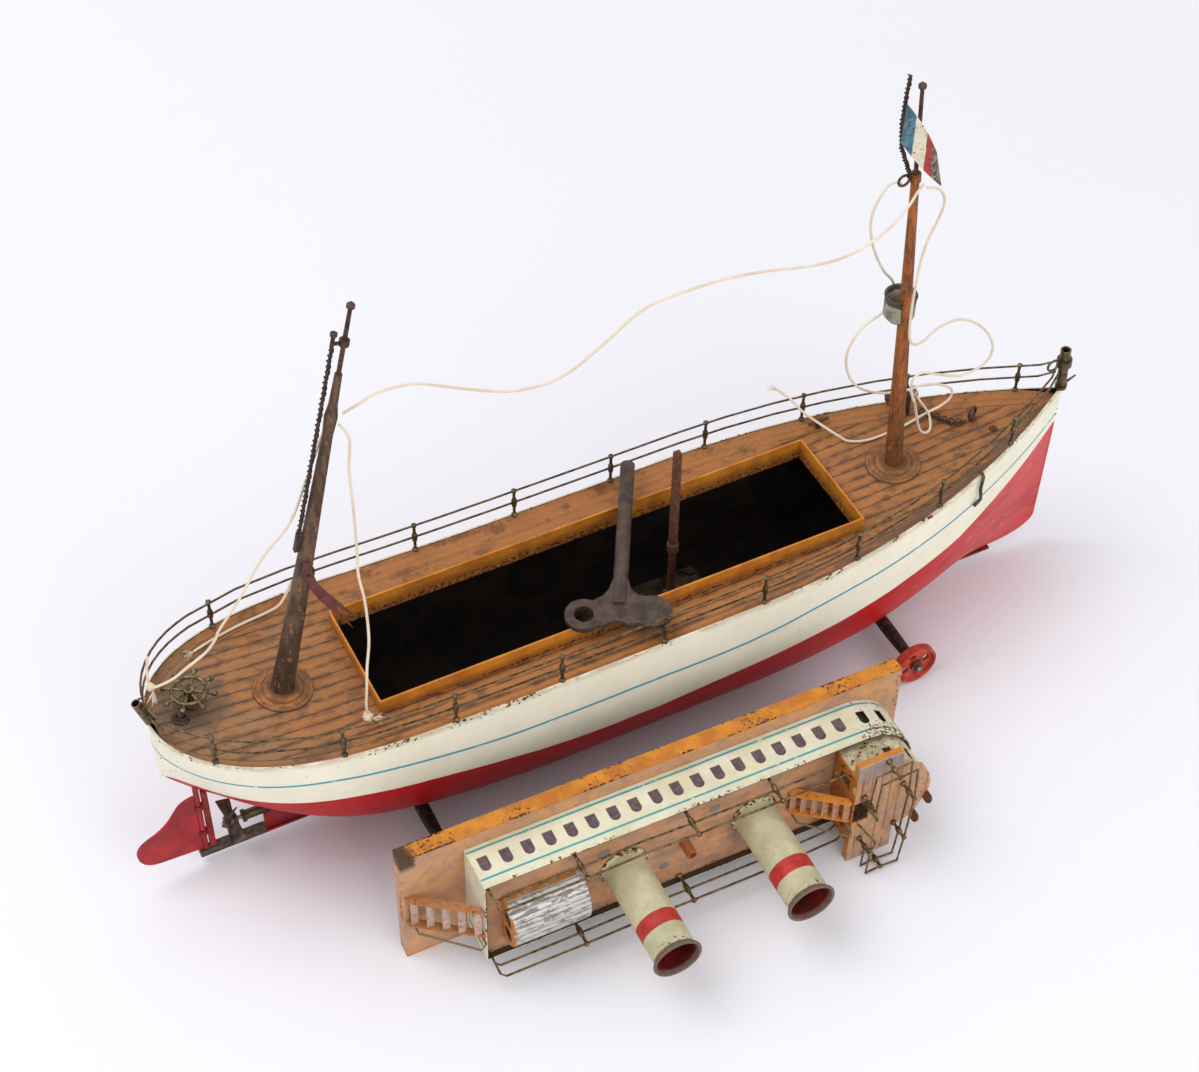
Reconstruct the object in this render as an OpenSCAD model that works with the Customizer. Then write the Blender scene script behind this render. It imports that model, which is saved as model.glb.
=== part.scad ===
// Clockwork toy passenger ship in painted tinplate, with its upper works lifted off and laid beside it.
// X runs to the bow, Y to port, Z up. The origin is the middle of the keel's underside.

/* [Hull] */
// Overall length of the hull
hull_len = 700; // [600:5:840]
// Greatest beam of the hull
hull_beam = 152; // [130:1:184]
// Height of the deck edge amidships above the keel's underside
hull_height = 139; // [118:1:167]
// Thickness of the hull's sheet
hull_sheet = 1.2; // [0.9:0.1:1.6]
// Rise of the deck edge at the stern
sheer_stern = 18; // [12:1:20]
// Rise of the deck edge at the bow
sheer_bow = 15; // [8:1:20]
// Length over which the stern rounds in
stern_round = 180; // [150:5:200]
// Length over which the bow draws in
bow_taper = 300; // [250:5:330]
// Length of the run under the stern
stern_run = 150; // [135:5:165]
// Rise of the run under the stern
counter_rise = 100; // [90:1:104]
// Height of the deck edge above the deck
bulwark_h = 6; // [4:0.5:8]
// Thickness of the keel strip
keel_t = 2; // [1.5:0.5:3]
// Width of the keel strip
keel_w = 6; // [5:0.5:10]

/* [Hatch] */
// Length of the hatch inside its coaming
hatch_len = 363; // [320:1:375]
// Width of the hatch inside its coaming
hatch_w = 84; // [70:1:92]
// Height of the coaming's rim above the deck edge amidships
coaming_rise = 8; // [6:0.5:12]
// Depth of the coaming's sides
coaming_depth = 17; // [15:0.5:24]
// Thickness of the coaming
coaming_t = 1.4; // [1:0.1:2]
// Place of the hatch's middle along the hull
hatch_x = -27; // [-32:1:-20]

/* [Deck rails] */
// Height of a rail post
post_h = 26; // [20:1:32]
// Number of posts on each side
post_count = 9; // [6:1:10]
// Diameter of a rail wire
rail_wire_d = 1.6; // [1.2:0.1:2.2]

/* [Masts] */
// Foot of the aft mast along the hull
aft_mast_x = -260; // [-275:1:-245]
// Height of the aft mast's tube above its flange
aft_mast_h = 261; // [218:1:313]
// Forward lean of the aft mast in degrees
aft_mast_lean = 13; // [0:0.5:15]
// Diameter of the aft mast at its foot
aft_mast_d = 15.5; // [13:0.5:18]
// Foot of the fore mast along the hull
fore_mast_x = 207; // [198:1:225]
// Height of the fore mast's tube above its flange
fore_mast_h = 264; // [220:1:317]
// Backward lean of the fore mast in degrees
fore_mast_lean = 3.7; // [0:0.1:8]
// Diameter of the fore mast at its foot
fore_mast_d = 13; // [11:0.5:15]
// Diameter of the mast flanges
flange_d = 40; // [34:1:46]
// Length of the rod at the aft mast's head
aft_rod_l = 50; // [42:1:60]
// Length of the rod at the fore mast's head
fore_rod_l = 71; // [59:1:85]
// Outer diameter of the crow's nest
nest_d = 21.5; // [18:0.5:25]
// Height of the crow's nest
nest_h = 20.5; // [16:0.5:25]

/* [Running gear] */
// Radius of a road wheel
wheel_r = 17; // [15:0.5:20]
// Width of a road wheel's rim
wheel_w = 8; // [6:0.5:10]
// Distance between the middles of the two wheels on an axle
wheel_track = 160; // [150:1:190]
// Place of the fore axle along the hull
fore_axle_x = 192; // [180:1:205]
// Place of the aft axle along the hull
aft_axle_x = -184; // [-195:1:-170]
// Height of the keel's underside above the ground
ground_gap = 8; // [6:0.5:10]
// Diameter of an axle
axle_d = 3; // [2:0.1:4]
// Radius of an axle tube inside the hull
axle_tube_r = 5; // [4:0.1:5.5]

/* [Propeller and rudder] */
// Radius of the propeller
propeller_r = 16.5; // [13:0.5:16.5]
// Height of the propeller shaft above the keel's underside
shaft_z = 24.5; // [24:0.5:27]
// Diameter of the propeller shaft
shaft_d = 3; // [2.4:0.1:3.4]
// Distance of the propeller ahead of the rudder stock
propeller_gap = 20; // [19:1:24]
// Diameter of the rudder stock
stock_d = 4; // [3:0.1:5]
// Height of the steering wheel above the deck
steering_h = 16; // [13:0.5:22]
// Angle of the rudder off the centreline
rudder_angle = 4; // [-15:1:15]

/* [Clockwork] */
// Teeth on the great wheel
great_teeth = 48; // [40:4:52]
// Teeth on the second wheel
second_teeth = 36; // [28:4:40]
// Teeth on a pinion
pinion_teeth = 12; // [12:4:12]
// Teeth on the contrate wheel
contrate_teeth = 24; // [24:8:24]
// Teeth on the propeller shaft's pinion
shaft_pinion_teeth = 8; // [8:1:8]
// Gear module of the great wheel
great_module = 1.1; // [1:0.05:1.2]
// Gear module of the second wheel
second_module = 0.85; // [0.8:0.05:0.95]
// Thickness of the clockwork's plates
plate_t = 1.5; // [1:0.1:2]
// Distance between the clockwork's plates
plate_gap = 40; // [38:1:46]
// Place of the winding arbor along the hull
winding_x = 34; // [28:1:40]
// Place of the winding arbor to port of the hull's middle
winding_y = 10; // [8:0.5:11]
// Diameter of the winding rod
winding_rod_d = 6.5; // [6:0.1:7.5]
// Height of the winding rod's top above the keel's underside
winding_rod_top = 218; // [182:1:235]

/* [Key] */
// Length of the key's shank
key_shank_l = 120; // [100:1:122]
// Diameter of the key's shank
key_shank_d = 10.3; // [8:0.1:12]
// Distance between the middles of the key's two lobes
key_lobes = 46; // [38:1:56]
// Turn of the key on the hatch in degrees
key_turn = 30; // [20:1:32]

/* [Upper works] */
// Length of the upper works' base
house_len = 370; // [350:1:400]
// Width of the upper works' base
house_w = 110; // [102:1:120]
// Height of the base's skirt
base_h = 11; // [9:0.5:14]
// Width of the cabin
cabin_w = 84; // [74:1:92]
// Height of the cabin's roof above the base's underside
roof_h = 44; // [38:0.5:50]
// Gap between the base's aft end and the cabin
cabin_aft = 44; // [38:1:50]
// Number of windows on each side
window_count = 18; // [10:1:18]
// Outer diameter of a funnel
funnel_d = 30; // [24:0.5:34]
// Height of a funnel above the roof
funnel_h = 76; // [60:1:90]
// Place of the aft funnel from the base's aft end
aft_funnel_s = 145; // [138:1:150]
// Place of the fore funnel from the base's aft end
fore_funnel_s = 243; // [236:1:246]
// Height of the bridge's deck above the base's underside
bridge_h = 70; // [64:0.5:78]
// Sheet thickness of the upper works
house_sheet = 1.2; // [0.9:0.1:1.5]
// Aft end of the upper works where they lie
house_x = -238; // [-250:1:-225]
// Distance of the upper works' underside from the hull's middle
house_y = 122; // [115:1:150]

/* [Hidden] */
$fn = 48;

// Clearances shared by everything that seats or runs
seat = 0.25;
run = 0.05;

// Colours
c_cream = [0.9, 0.88, 0.8];
c_red = [0.62, 0.08, 0.07];
c_orange = [0.87, 0.5, 0.1];
c_tan = [0.72, 0.45, 0.26];
c_deck = [0.6, 0.35, 0.16];
c_rust = [0.33, 0.22, 0.16];
c_dark = [0.2, 0.18, 0.16];
c_bronze = [0.42, 0.36, 0.26];
c_brass = [0.65, 0.5, 0.25];
c_steel = [0.5, 0.5, 0.5];
c_silver = [0.75, 0.75, 0.74];
c_twine = [0.9, 0.84, 0.72];

// Shape of the hull
half_len = hull_len / 2;
stations = 34;
ring_half = 9;
stem_half = 0.8;
end_wall = 3;
forefoot_len = 40;
forefoot_rise = 18;
full_height_power = 3.4;
full_beam_power = 2.2;
bow_height_power = 2.2;
bow_beam_power = 1.15;
stern_height_power = 1.9;
stern_beam_power = 0.85;

function ramp(a, b, x) = min(max((x - a) / (b - a), 0), 1);
function ease(a, b, x) = let (t = ramp(a, b, x)) t * t * (3 - 2 * t);
function mix(a, b, t) = a + (b - a) * t;

function stern_draw(x) = sqrt(1 - pow(ramp(stern_round - half_len, -half_len, x), 3));
function bow_draw(x) = 1 - pow(ramp(half_len - bow_taper, half_len, x), 2.2);
function half_beam(x) = max(hull_beam / 2 * stern_draw(x) * bow_draw(x), stem_half);
function edge_z(x) = hull_height
  + (x < 0 ? sheer_stern * pow(-x / half_len, 3) : sheer_bow * pow(x / half_len, 2));
function edge_slope(x) = x < 0 ? -3 * sheer_stern * pow(x / half_len, 2) / half_len
  : 2 * sheer_bow * x / pow(half_len, 2);
function run_rise(x) = counter_rise * pow(ramp(stern_run - half_len, -half_len, x), 2.2);
function foot_rise(x) = forefoot_rise * (1 - sqrt(1 - pow(ramp(half_len - forefoot_len, half_len, x), 2)));
function bottom_z(x) = keel_t + run_rise(x) + foot_rise(x);
function bow_share(x) = ease(0.43 * half_len, half_len, x);
function stern_share(x) = ease(-0.23 * half_len, -half_len, x);
function height_power(x) = full_height_power + bow_share(x) * (bow_height_power - full_height_power)
  + stern_share(x) * (stern_height_power - full_height_power);
function beam_power(x) = full_beam_power + bow_share(x) * (bow_beam_power - full_beam_power)
  + stern_share(x) * (stern_beam_power - full_beam_power);

// One ring of the hull's skin at x, from the starboard edge under the keel to the port edge
function skin_ring(x, t) = let (
  b = max(half_beam(x) - t, stem_half / 2),
  low = bottom_z(x) + t,
  high = edge_z(x),
  yp = 2 / beam_power(x),
  zp = 2 / height_power(x)
) [
  for (j = [0:2 * ring_half]) let (
    a = 90 * (j - ring_half) / ring_half,
    y = b * pow(abs(sin(a)), yp)
  ) [x, sign(a) * y, low + (high - low) * (1 - pow(abs(cos(a)), zp))]
];
function station_x(i, inset) = -(half_len - inset) * cos(180 * i / stations);

// Half-breadth of the hull's outside at x and z
function side_y(x, z) = half_beam(x)
  * pow(1 - pow(1 - ramp(bottom_z(x), edge_z(x), z), height_power(x)), 1 / beam_power(x));

// Deck and hatch
deck_margin = 10;
deck_inset = hull_sheet + 0.15;
function deck_z(x) = edge_z(x) - bulwark_h;
coaming_top = hull_height + coaming_rise;
coaming_len = hatch_len + 2 * coaming_t;
coaming_w = hatch_w + 2 * coaming_t;

// Propeller and rudder
stock_x = -329 * half_len / 350;
propeller_x = stock_x + propeller_gap;
stern_tube_r = 3.5;
stern_tube_x0 = propeller_x + 8;
stern_tube_x1 = stern_tube_x0 + 40;
skeg_x0 = propeller_x + 23;
gudgeon_r = stock_d / 2 + 0.9;

// Running gear
ground_z = -ground_gap;
axle_z = wheel_r - ground_gap;
axle_tube_end = wheel_track / 2 - wheel_w / 2 - 3;

// Clockwork: the train stands upright between two level plates
plate_low = 16;
plate_high = plate_low + plate_t + plate_gap;
arbor_r = 1.5;
arbor_z0 = plate_low - 1;
arbor_z1 = plate_high + plate_t + 1;
winder_r = 3;
contrate_r = 13;
contrate_face = 3;
contrate_pitch = 2 * PI * contrate_r / contrate_teeth;
shaft_pinion_r = shaft_pinion_teeth * contrate_pitch / (2 * PI);
contrate_z = shaft_z + shaft_pinion_r + 1.3;
second_y = -8;
great_reach = great_module * (great_teeth + pinion_teeth) / 2;
second_x = winding_x - sqrt(pow(great_reach, 2) - pow(winding_y - second_y, 2));
second_reach = second_module * (second_teeth + pinion_teeth) / 2;
contrate_x = second_x - sqrt(pow(second_reach, 2) - pow(second_y, 2));
second_z = contrate_z + 6;
great_z = second_z + 6.5;
barrel_r = 25;
barrel_z0 = plate_low + plate_t + 1;
barrel_z1 = second_z - 1.5;
wheel_t = 1.5;
great_t = 2;
plate_x0 = contrate_x - 24;
plate_x1 = winding_x + 35;
plate_half = 39;
pillar_inset = 6;
ratchet_r = 12;
ratchet_teeth = 16;
ratchet_z = plate_high + plate_t + 1.5;
ratchet_t = 2;
click_reach = 17;
click_back = 48;
winder_top = ratchet_z + 6;

// Twine routes, in the order in which a hand would follow each
twine_d = 2;
stern_route = [
  [-336, 31, 181.5], [-338.5, 26.5, 177], [-341, 19, 174], [-341.5, 12, 174.2], [-337, 9.2, 176],
  [-327, 9, 178], [-317, 8, 185], [-304, 7, 194], [-297, 6, 204], [-293, 6, 212], [-278, 5, 234],
  [-260, 5, 263], [-240, 5, 285], [-226, 5, 318], [-217, 5.4, 340], [-209, 5.6, 358]
];
span_route = [
  [-202.4, -4, 370], [-192, -6.4, 376], [-183, -6, 379], [-168, -5, 378], [-153, -4, 373], [-137, -4, 364],
  [-121, -4, 355], [-106, -4, 347], [-91, -4, 341], [-71, -4, 338], [-58, -4, 340], [-47, -4, 345],
  [-27, -4, 358], [-16, -4, 366], [-6, -4, 372], [6, -4, 375], [21, -4, 376], [38, -4, 376],
  [56, -4, 375], [74, -4, 372], [92, -4, 368], [111, -4, 363], [130, -4, 360], [141, -4, 360],
  [152, -4, 362], [166, -5, 369], [176, -6.4, 379], [183, -7.6, 390], [188, -6.8, 397], [193, -6, 401.5]
];
drop_route = [
  [-205.6, -4.6, 363], [-201.6, -8.4, 354], [-203, -11, 343], [-205, -13, 332], [-206, -17, 302],
  [-208, -22, 271], [-210, -26, 254], [-209, -30, 235], [-210, -35, 216], [-212, -39, 202],
  [-216, -43, 186], [-219, -47, 170], [-221, -49, 158], [-221, -50, 147]
];
port_route = [
  [-224, 70.4, 157.2], [-229, 69, 149.4], [-236, 66.2, 143.1], [-244, 65, 141.8], [-252, 64, 141.8],
  [-264, 62, 142.8], [-276, 59.4, 143.7], [-288, 55.8, 144.9], [-297, 52.5, 146], [-302, 50.4, 146.6]
];
fore_loop_route = [
  [182, 2.6, 400], [177, 7, 398], [170.5, 10, 383], [169, 12, 365.5], [175, 14, 341.5], [187.5, 17, 315],
  [200, 21.5, 297], [204, 23.5, 283], [198, 22.5, 270.5], [180, 20.5, 264], [170, 20, 248],
  [172.5, 22, 226], [185, 24, 203], [207, 26, 186], [230, 27.5, 177.5], [245, 28, 176], [259, 27.5, 171],
  [268.5, 25, 165], [268.5, 24, 157], [262, 24.5, 151.5], [254, 25.5, 148.5], [246, 26.5, 145.5],
  [238, 27, 142.5], [229, 26.6, 141.2], [204, 26.9, 139.9], [190, 32.5, 139.5], [184, 38, 142.6],
  [176.5, 44, 148.5], [164, 55.5, 159], [157, 63.5, 168.4], [149.5, 70, 175.5]
];
fore_drop_route = [
  [193, -9, 401], [201.5, -11.5, 398], [206.5, -12, 387], [203.5, -12, 373], [197.5, -12, 357],
  [194.5, -12, 338], [193.5, -12, 309], [193.5, -12.5, 288], [195, -13, 274], [200, -13.5, 268],
  [207, -14, 270], [217, -14, 277], [234, -14, 277.5], [253.5, -14, 263], [266, -14, 241],
  [262, -14, 226], [243, -14, 222], [221, -14.5, 233], [208, -15, 240], [200.5, -16, 238],
  [200.5, -16, 228], [204, -15, 217], [212, -6, 204], [222, 6, 190], [230.5, 12.5, 168],
  [235, 13.5, 153], [238, 12.5, 146], [243, 12, 143.2], [247.5, 15, 144], [249, 20, 150],
  [245, 21.5, 159], [240, 21, 167], [236, 20.5, 174]
];
twine_sides = 8;

// A rod or cone between two points
module rod(a, b, r1, r2) {
  v = b - a;
  translate(a)
    rotate([0, acos(v.z / norm(v)), atan2(v.y, v.x)])
      cylinder(h = norm(v), r1 = r1, r2 = r2);
}

// Rings of points swept along a path, each square to the path, with no twist
function unit(v) = v / norm(v);
function path_dir(p, i) = unit(p[min(i + 1, len(p) - 1)] - p[max(i - 1, 0)]);
function carry(n, d) = unit(n - d * (n * d));
function normals(p, i = 0, n = [0.31, 0.83, 0.47], done = []) =
  i == len(p) ? done : let (m = carry(n, path_dir(p, i))) normals(p, i + 1, m, concat(done, [m]));
function tube_points(p, r, sides) = let (ns = normals(p)) [
  for (i = [0:len(p) - 1]) let (d = path_dir(p, i), n = ns[i], m = cross(d, n))
    for (k = [0:sides - 1]) p[i] + r * (cos(360 * k / sides) * n + sin(360 * k / sides) * m)
];
function tube_faces(count, sides) = concat(
  [for (i = [0:count - 2]) for (k = [0:sides - 1]) let (q = (k + 1) % sides)
    [i * sides + k, (i + 1) * sides + k, (i + 1) * sides + q]],
  [for (i = [0:count - 2]) for (k = [0:sides - 1]) let (q = (k + 1) % sides)
    [i * sides + k, (i + 1) * sides + q, i * sides + q]],
  [[for (k = [0:sides - 1]) k]],
  [[for (k = [0:sides - 1]) count * sides - 1 - k]]
);
module tube_along(path, r, sides) {
  polyhedron(points = tube_points(path, r, sides), faces = tube_faces(len(path), sides), convexity = 8);
}

// A smooth path through chosen points, with the given steps between two of them
function spline_point(p, i, t) = let (
  a = p[max(i - 1, 0)], b = p[i], c = p[min(i + 1, len(p) - 1)], d = p[min(i + 2, len(p) - 1)]
) 0.5 * (2 * b + (c - a) * t + (2 * a - 5 * b + 4 * c - d) * t * t + (3 * b - a - 3 * c + d) * t * t * t);
function spline(p, steps) = concat(
  [for (i = [0:len(p) - 2]) for (k = [0:steps - 1]) spline_point(p, i, k / steps)],
  [p[len(p) - 1]]
);

// Everything fixed to the deck at x stands square to its slope
module on_deck(x, y = 0, lift = seat) {
  translate([x, y, deck_z(x) + lift])
    rotate([0, -atan(edge_slope(x)), 0])
      children();
}

// The hull's shell: an outer and an inner skin of rings, joined at the edge and capped at the ends
module hull_shell() {
  n = 2 * ring_half + 1;
  size = (stations + 1) * n;
  points = concat(
    [for (i = [0:stations]) each skin_ring(station_x(i, 0), 0)],
    [for (i = [0:stations]) each skin_ring(station_x(i, end_wall), hull_sheet)]
  );
  function at(s, i, j) = s * size + i * n + j;
  function skin(s, flip) = [
    for (i = [0:stations - 1]) for (j = [0:n - 2]) let (
      a = at(s, i, j), b = at(s, i + 1, j), c = at(s, i + 1, j + 1), d = at(s, i, j + 1)
    ) each (flip ? [[a, c, b], [a, d, c]] : [[a, b, c], [a, c, d]])
  ];
  function cap(s, i, flip) = [
    for (j = [0:ring_half - 1]) let (
      a = at(s, i, j), b = at(s, i, j + 1), c = at(s, i, n - 2 - j), d = at(s, i, n - 1 - j)
    ) each (j == ring_half - 1
      ? (flip ? [[a, d, b]] : [[a, b, d]])
      : (flip ? [[a, c, b], [a, d, c]] : [[a, b, c], [a, c, d]]))
  ];
  function rim(j, flip) = [
    for (i = [0:stations - 1]) let (
      a = at(0, i, j), b = at(0, i + 1, j), c = at(1, i + 1, j), d = at(1, i, j)
    ) each (flip ? [[a, c, b], [a, d, c]] : [[a, b, c], [a, c, d]])
  ];
  function bridge_end(i, flip) = let (
    a = at(0, i, 0), b = at(0, i, n - 1), c = at(1, i, n - 1), d = at(1, i, 0)
  ) flip ? [[a, c, b], [a, d, c]] : [[a, b, c], [a, c, d]];
  faces = concat(
    skin(0, false), skin(1, true),
    cap(0, 0, false), cap(0, stations, true),
    cap(1, 0, true), cap(1, stations, false),
    rim(0, true), rim(n - 1, false),
    bridge_end(0, true), bridge_end(stations, false)
  );
  polyhedron(points = points, faces = faces, convexity = 10);
}

module hull() {
  color(c_cream)
    difference() {
      hull_shell();
      for (x = [aft_axle_x, fore_axle_x])
        translate([x, 0, axle_z])
          rotate([90, 0, 0])
            cylinder(h = hull_beam, r = axle_tube_r + run, center = true);
      translate([stock_x, 0, 0])
        cylinder(h = hull_height, r = stock_d / 2 + 0.3);
      translate([-half_len, 0, shaft_z])
        rotate([0, 90, 0])
          cylinder(h = half_len / 2, r = stern_tube_r + run);
    }
}

module keel() {
  post_x0 = stock_x + stock_d / 2 + 1;
  post_x1 = post_x0 + 4;
  skeg_x1 = stern_run - half_len + 4;
  bar_top = 6;
  bar_x0 = stock_x - stock_d / 2 - 3;
  color(c_red) {
    translate([skeg_x0, -keel_w / 2, 0])
      cube([half_len - forefoot_len - skeg_x0, keel_w, keel_t]);
    // Skeg under the run, pierced by the stern tube
    difference() {
      translate([0, 1.5, 0])
        rotate([90, 0, 0])
          linear_extrude(3)
            polygon(concat(
              [[skeg_x0, 0], [skeg_x1, 0]],
              [for (i = [0:8]) let (x = mix(skeg_x1, skeg_x0, i / 8))
                [x, min(bottom_z(x) - seat, i == 8 ? 18 : 100)]]
            ));
      translate([skeg_x0 - 1, 0, shaft_z])
        rotate([0, 90, 0])
          cylinder(h = stern_tube_x1 - skeg_x0, r = stern_tube_r + 1.1);
    }
    difference() {
      union() {
        // Heel bar and stern post
        translate([bar_x0, -3, 0])
          cube([skeg_x0 - bar_x0, 6, bar_top]);
        translate([0, 2, 0])
          rotate([90, 0, 0])
            linear_extrude(4)
              polygon([
                [post_x0, 0], [post_x1, 0],
                [post_x1, bottom_z(post_x1) - seat], [post_x0, bottom_z(post_x0) - seat]
              ]);
        // Gudgeons
        for (z = [22, 50]) {
          translate([stock_x, 0, z])
            cylinder(h = 5, r = gudgeon_r);
          translate([stock_x, -1.5, z])
            cube([post_x1 - stock_x, 3, 5]);
        }
      }
      translate([stock_x, 0, 2])
        cylinder(h = hull_height, r = stock_d / 2 + run);
    }
  }
}

// Half-breadths of the deck's outline and heights of its coved margin, from the edge inwards
deck_cove = [[0, -0.6], [2.5, -3.6], [6, -5.6], [deck_margin, -bulwark_h]];
function deck_row(x, drop) = let (
  w = max(half_beam(x) - deck_inset, 0.6),
  k = min(1, 0.8 * w / deck_margin)
) [
  for (c = deck_cove) [x, k * c[0] - w, edge_z(x) + mix(-bulwark_h, c[1], k) - drop],
  for (i = [3:-1:0]) let (c = deck_cove[i])
    [x, w - k * c[0], edge_z(x) + mix(-bulwark_h, c[1], k) - drop]
];

module deck_sheet() {
  n = 2 * len(deck_cove);
  size = (stations + 1) * n;
  inset = end_wall + 0.3;
  points = concat(
    [for (i = [0:stations]) each deck_row(station_x(i, inset), 0)],
    [for (i = [0:stations]) each deck_row(station_x(i, inset), hull_sheet)]
  );
  function at(s, i, j) = s * size + i * n + j;
  function quad(a, b, c, d, flip) = flip ? [[a, c, b], [a, d, c]] : [[a, b, c], [a, c, d]];
  faces = concat(
    [for (s = [0, 1]) for (i = [0:stations - 1]) for (j = [0:n - 2])
      each quad(at(s, i, j), at(s, i + 1, j), at(s, i + 1, j + 1), at(s, i, j + 1), s == 0)],
    [for (j = [0, n - 1]) for (i = [0:stations - 1])
      each quad(at(0, i, j), at(0, i + 1, j), at(1, i + 1, j), at(1, i, j), j == n - 1)],
    [for (i = [0, stations]) for (j = [0:n - 2])
      each quad(at(0, i, j), at(0, i, j + 1), at(1, i, j + 1), at(1, i, j), i == 0)]
  );
  polyhedron(points = points, faces = faces, convexity = 10);
}

module main_deck() {
  color(c_deck)
    difference() {
      deck_sheet();
      translate([hatch_x, 0, hull_height])
        cube([coaming_len + 0.2, coaming_w + 0.2, hull_height / 2], center = true);
      translate([stock_x, 0, 0])
        cylinder(h = 2 * hull_height, r = stock_d / 2 + 0.3);
    }
}

module hatch_coaming() {
  color(c_orange)
    translate([hatch_x, 0, coaming_top - coaming_depth / 2])
      difference() {
        cube([coaming_len, coaming_w, coaming_depth], center = true);
        cube([hatch_len, hatch_w, coaming_depth + 1], center = true);
      }
}

// Rail posts stand on the hull's edge, those to port half a space ahead of those to starboard
starboard_first = -0.92 * half_len;
post_pitch = 1.74 * half_len / (post_count - 1);
port_first = starboard_first + post_pitch / 2;
function post_x(i, side) = (side < 0 ? starboard_first : port_first) + i * post_pitch * (side < 0 ? 1 : 0.99);
function rail_y(x) = max(half_beam(x) - 2.2, 0);
bent_post_x = 252;

module baluster(h) {
  rotate_extrude()
    polygon([
      [0, 0], [2.2, 0], [2.2, 1.2], [1.1, 2.4], [1.1, 0.3 * h], [1.9, 0.4 * h], [2.1, 0.5 * h],
      [1.9, 0.6 * h], [1.1, 0.68 * h], [1.1, 0.86 * h], [1.9, 0.92 * h], [1.9, 0.97 * h], [1, h], [0, h]
    ]);
}

module rail_posts() {
  color(c_bronze) {
    for (side = [-1, 1])
      for (i = [0:post_count - 1]) {
        x = post_x(i, side);
        translate([x, side * rail_y(x), edge_z(x) + seat])
          baluster(post_h);
      }
    // A post that has been bent out over the starboard side
    y = side_y(bent_post_x, edge_z(bent_post_x)) + 1.2;
    z = edge_z(bent_post_x);
    tube_along([
      [bent_post_x, 3.2 - y, z + 1.6], [bent_post_x, 0.4 - y, z + 2.4], [bent_post_x, -y - 1.6, z + 0.8],
      [bent_post_x - 1, -y - 2, z - 10], [bent_post_x + 1, -y - 2, z - 22], [bent_post_x - 4, -y - 2, z - 27]
    ], 1.3, 6);
  }
}

// Two wires on each side run from the bow fitting to the socket at the stern
rail_xs = concat(
  [for (i = [0:17]) mix(half_len - 18, -half_len * 0.86, i / 17)],
  [for (i = [1:9]) -half_len * (0.86 + 0.1389 * sin(10 * i))]
);
function rail_droop(x) = 1 - 0.2 * pow(ramp(-0.9 * half_len, -half_len, x), 2);
function rail_path(side, h) = concat(
  [[half_len - 4 - h / 4, side * 1.5, edge_z(half_len) + 4 + h]],
  [for (x = rail_xs) [x, side * rail_y(x), edge_z(x) + seat + h * rail_droop(x)]],
  [[-half_len - h / 12, side * 4.5, edge_z(-half_len) + seat + 0.8 * h]]
);

module rail_wires() {
  color(c_bronze)
    for (side = [-1, 1])
      for (h = [0.5, 0.93] * post_h)
        tube_along(rail_path(side, h), rail_wire_d / 2, 6);
}

// Mast flanges: a pressed disc with a raised ring and a socket
flange_t = 1.6;
socket_t = 3;
module mast_flange() {
  rotate_extrude()
    polygon([
      [0, 0], [flange_d / 2, 0], [flange_d / 2, flange_t / 2], [flange_d / 2 - 3, flange_t],
      [flange_d / 3, flange_t], [flange_d / 3 - 1, socket_t], [0, socket_t]
    ]);
}

module mast_flanges() {
  color(c_tan)
    for (x = [aft_mast_x, fore_mast_x])
      on_deck(x)
        mast_flange();
}

// A mast's frame: its foot on the flange, leaning along the hull
module on_mast(x, lean) {
  translate([x, 0, deck_z(x) + seat + socket_t])
    rotate([0, lean, 0])
      children();
}

module mast_tube(x, lean, h, d0, d1) {
  difference() {
    on_mast(x, lean)
      translate([0, 0, -d0 / 3])
        cylinder(h = h + d0 / 3, r1 = d0 / 2 + (d0 - d1) / h, r2 = d1 / 2);
    on_deck(x, 0, seat + socket_t - d0 + 0.1)
      translate([-d0, -d0, 0])
        cube([2 * d0, 2 * d0, d0]);
  }
}

// Heights up the masts
aft_top_d = 4.8;
fore_top_d = 5.4;
hounds_z = 0.9 * aft_mast_h;
rod_bed = 14;
rod_d = 3;
collar_lift = 23;
function mast_at(x, lean, u, v, h) = [
  x + u * cos(lean) + h * sin(lean), v, deck_z(x) + seat + socket_t + h * cos(lean) - u * sin(lean)
];
function aft_mast_r(h) = mix(aft_mast_d, aft_top_d, h / aft_mast_h) / 2;
fore_top = mast_at(fore_mast_x, -fore_mast_lean, 0, 0, fore_mast_h);

module aft_mast() {
  color(c_rust) {
    difference() {
      mast_tube(aft_mast_x, aft_mast_lean, aft_mast_h, aft_mast_d, aft_top_d);
      on_mast(aft_mast_x, aft_mast_lean)
        translate([0, 0, aft_mast_h - rod_bed])
          cylinder(h = rod_bed + 1, r = rod_d / 2 + run);
    }
    // Flared hounds
    on_mast(aft_mast_x, aft_mast_lean)
      translate([0, 0, hounds_z - 20]) {
        cylinder(h = 14, r1 = 3.3, r2 = 4.2);
        translate([0, 0, 14])
          cylinder(h = 12, r1 = 4.2, r2 = 2.5);
      }
  }
}

module fore_mast() {
  color(c_rust) {
    difference() {
      mast_tube(fore_mast_x, -fore_mast_lean, fore_mast_h, fore_mast_d, fore_top_d);
      on_mast(fore_mast_x, -fore_mast_lean)
        translate([0, 0, fore_mast_h - rod_bed])
          cylinder(h = rod_bed + 1, r = rod_d / 2 + run);
    }
    on_mast(fore_mast_x, -fore_mast_lean)
      translate([0, 0, fore_mast_h - 4])
        difference() {
          cylinder(h = 6, r = fore_top_d / 2 + 1);
          translate([0, 0, -1])
            cylinder(h = 8, r = fore_top_d / 2 - 0.6);
        }
  }
}

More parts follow.
